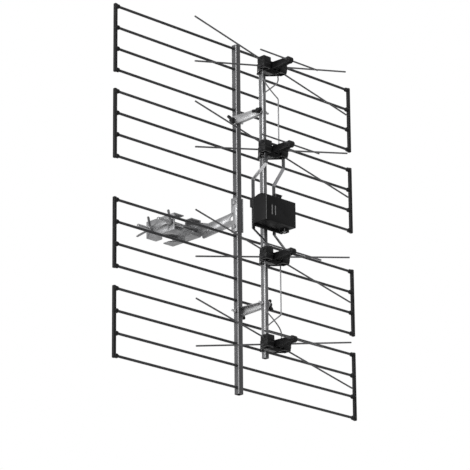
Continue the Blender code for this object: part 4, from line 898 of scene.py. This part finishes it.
clampBolt = {
    "radius": 0.004, "headWidth": 0.013, "headHeight": 0.0053, "headSoft": 0.0005,
    "discRadius": 0.00598, "discHeight": 0.001, "discSoft": 0.0004,
    "threadFrom": 0.045, "pitch": 0.00125, "shankSunk": 0.001, "threadSunk": 0.0005,
}
wingNut = {      # half sections, out from the bolt and back from the jaw
    "hub": ((0.0043, 0.0), (0.0078, 0.0), (0.0078, 0.002), (0.0064, 0.0076), (0.0054, 0.0088),
            (0.0043, 0.0088)),
    "wing": ((0.0049, 0.0013), (0.007644, 0.003), (0.01807, 0.012098), (0.027383, 0.020514),
             (0.0278, 0.023144), (0.026966, 0.025774), (0.024742, 0.0263), (0.014178, 0.016306),
             (0.0064, 0.008448), (0.0049, 0.008448)),
    "half": 0.0010, "soft": 0.0007,
}


def makeClampBolt(word):
    low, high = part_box(f"clamp_bolt_{word}")
    y = (low.y + high.y) / 2
    bm = bmesh.new()
    under, disc = high.x - clampBolt["headHeight"], high.x - clampBolt["discHeight"]
    start = under - clampBolt["threadFrom"]
    addHexagon(bm, under, high.x, y, 0, clampBolt["headWidth"], clampBolt["headSoft"])
    addBar(bm, disc, high.x, y, 0, clampBolt["discRadius"], sides=28, soft=clampBolt["discSoft"])
    addBar(bm, start, under + clampBolt["shankSunk"], y, 0, clampBolt["radius"])
    addThread(bm, (low.x, y, 0), start - low.x + clampBolt["threadSunk"], clampBolt["radius"],
              clampBolt["pitch"], (1, 0, 0))
    finishPiece(f"clamp.bolt.{word}", bm, "screw", [f"clamp_bolt_{word}"])


def makeWingNut(word):
    low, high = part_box(f"wing_nut_{word}")
    y, face, half = (low.y + high.y) / 2, high.x, wingNut["half"]
    bm = bmesh.new()
    section = [(face - along, y + out, 0) for out, along in wingNut["hub"]]
    addTurned(bm, section, (face, y, 0), (1, 0, 0), steps=32)
    slant = math.sqrt(0.5)      # the wings lean 45 degrees
    turn = Matrix(((0, 0, -1, face), (-slant, -slant, 0, y), (slant, -slant, 0, 0), (0, 0, 0, 1)))
    for side in (-1, 1):
        outline = [(side * a, b) for a, b in wingNut["wing"]]
        addPart(bm, startPlate(outline, "y", -half, half, wingNut["soft"], segments=3), turn)
    finishPiece(f"wing.nut.{word}", bm, "screw", [f"wing_nut_{word}"], "clamp_jaw")


for word in ("front", "rear"):
    makeClampBolt(word)
    makeWingNut(word)
print("clamp made")

junctionBox = {
    "coverSoft": 0.0012, "baseSoft": 0.0006,
    "ribs": ((-0.0300, -0.0160), (-0.040, -0.0145)),      # spans in x and z
    "ribDepth": 0.0009, "ribFacing": 0.5,
}


def paintRibHighlight(cover):      # painted highlight: the front faces of the raised ribs are painted pale
    cover.data.materials.append(materials["rib"])
    (x0, x1), (z0, z1) = junctionBox["ribs"]
    behind = min(vert.co.y for vert in cover.data.vertices) + junctionBox["ribDepth"]
    for face in cover.data.polygons:
        x, y, z = face.center
        facing = face.normal.y < -junctionBox["ribFacing"]
        if facing and boomX + x0 < x < boomX + x1 and z0 < z < z1 and y < behind:
            face.material_index = 1


paintRibHighlight(softCopy("box_cover", "box.cover", "box", junctionBox["coverSoft"], 3))
softCopy("box_base", "box.base", "plastic", junctionBox["baseSoft"])

balun = {
    "boardWidth": 0.070, "boardBack": 0.0206, "boardThick": 0.0016, "boardHeight": 0.040, "boardSoft": 0.0002,
    "level": -0.02375, "coreRadius": 0.007, "coreHeight": 0.0065, "coreSoft": 0.0008,
    "socketX": 0.0365, "socketDepth": 0.028,
    "barrel": ((0.0011, -0.0572), (0.0031, -0.058), (0.0040, -0.058), (0.0043, -0.0576), (0.0043, -0.037),
               (0.0011, -0.037)),      # half section with its bore
    "footHalf": 0.006, "footLow": -0.049, "footHigh": -0.041, "footSunk": 0.0004, "footSoft": 0.0005,
}


def makeBalun():
    front, level = carrierY - balun["boardBack"], balun["level"]
    skin = front - balun["boardThick"]
    half, tall = balun["boardWidth"] / 2, balun["boardHeight"] / 2
    board = bmesh.new()
    addBlock(board, (boomX - half, skin, level - tall), (boomX + half, front, level + tall),
             balun["boardSoft"], segments=1)
    finishPiece("balun.board", board, "board", ["balun_board"])
    core = bmesh.new()
    addRound(core, (boomX, skin, level), (boomX, skin - balun["coreHeight"], level), balun["coreRadius"],
             sides=32, soft=balun["coreSoft"])
    finishPiece("balun.core", core, "ferrite", ["balun_board"])
    socket = bmesh.new()
    x, y, foot = boomX + balun["socketX"], carrierY - balun["socketDepth"], balun["footHalf"]
    section = [(x + out, y, z) for out, z in balun["barrel"]]
    addTurned(socket, section, (x, y, 0), (0, 0, 1), steps=28)
    addBlock(socket, (x - foot, y - foot, balun["footLow"]),
             (x + foot, skin + balun["footSunk"], balun["footHigh"]), balun["footSoft"])
    finishPiece("balun.socket", socket, "screw", ["balun_board"])


makeBalun()
print("junction box made")

white = (1.0, 1.0, 1.0, 1.0)
floorPlan = {"level": -2.62, "size": 160.0, "colour": (0.80, 0.80, 0.80), "roughness": 0.9, "glow": 0.42}
lampPlan = {
    "key": {"from": (-4.6, -3.4, 3.4), "size": 2.6, "energy": 340.0},
    "side": {"from": (-5.2, 1.6, 0.8), "size": 2.6, "energy": 215.0},
    "back": {"from": (3.0, 4.6, 2.6), "size": 3.0, "energy": 120.0},
}
worldPlan = {"seen": 1.0, "ambient": 0.40}


def seenRays(tree):      # camera, glossy and transmission rays see the white surroundings
    path = addNode(tree, "ShaderNodeLightPath")
    either = maths(tree, "MAXIMUM", path.outputs["Is Camera Ray"], path.outputs["Is Glossy Ray"])
    return maths(tree, "MAXIMUM", either, path.outputs["Is Transmission Ray"])


def makeFloor(plan):
    bm = bmesh.new()
    bmesh.ops.create_grid(bm, x_segments=1, y_segments=1, size=plan["size"] / 2,
                          matrix=Matrix.Translation((0, 0, plan["level"])))
    mesh = bpy.data.meshes.new("floor")
    bm.to_mesh(mesh)
    bm.free()
    floor = bpy.data.objects.new("floor", mesh)
    scene.collection.objects.link(floor)
    material, tree, shader = startMaterial("pale floor")
    shader.inputs["Base Color"].default_value = (*plan["colour"], 1.0)
    shader.inputs["Roughness"].default_value = plan["roughness"]
    shader.inputs["Emission Color"].default_value = white
    tree.links.new(maths(tree, "MULTIPLY", seenRays(tree), plan["glow"]), shader.inputs["Emission Strength"])
    mesh.materials.append(material)


def makeLamps(plan):
    middle = Vector((boomX, carrierY, 0.0))
    for name, lamp in plan.items():
        data = bpy.data.lights.new(name, "AREA")
        data.shape, data.size, data.energy = "DISK", lamp["size"], lamp["energy"]
        item = bpy.data.objects.new(name, data)
        scene.collection.objects.link(item)
        item.location = lamp["from"]
        item.rotation_euler = (middle - Vector(lamp["from"])).to_track_quat("-Z", "Y").to_euler()


def makeWorld(plan):
    world = bpy.data.worlds.new("studio")
    world.use_nodes = True
    scene.world = world
    tree = world.node_tree
    background = tree.nodes["Background"]
    background.inputs["Color"].default_value = white
    strength = remap(tree, seenRays(tree), 0.0, 1.0, plan["ambient"], plan["seen"])
    tree.links.new(strength, background.inputs["Strength"])


makeFloor(floorPlan)
makeLamps(lampPlan)
makeWorld(worldPlan)
scene.view_settings.view_transform = "Standard"
print("floor, lamps and world made")
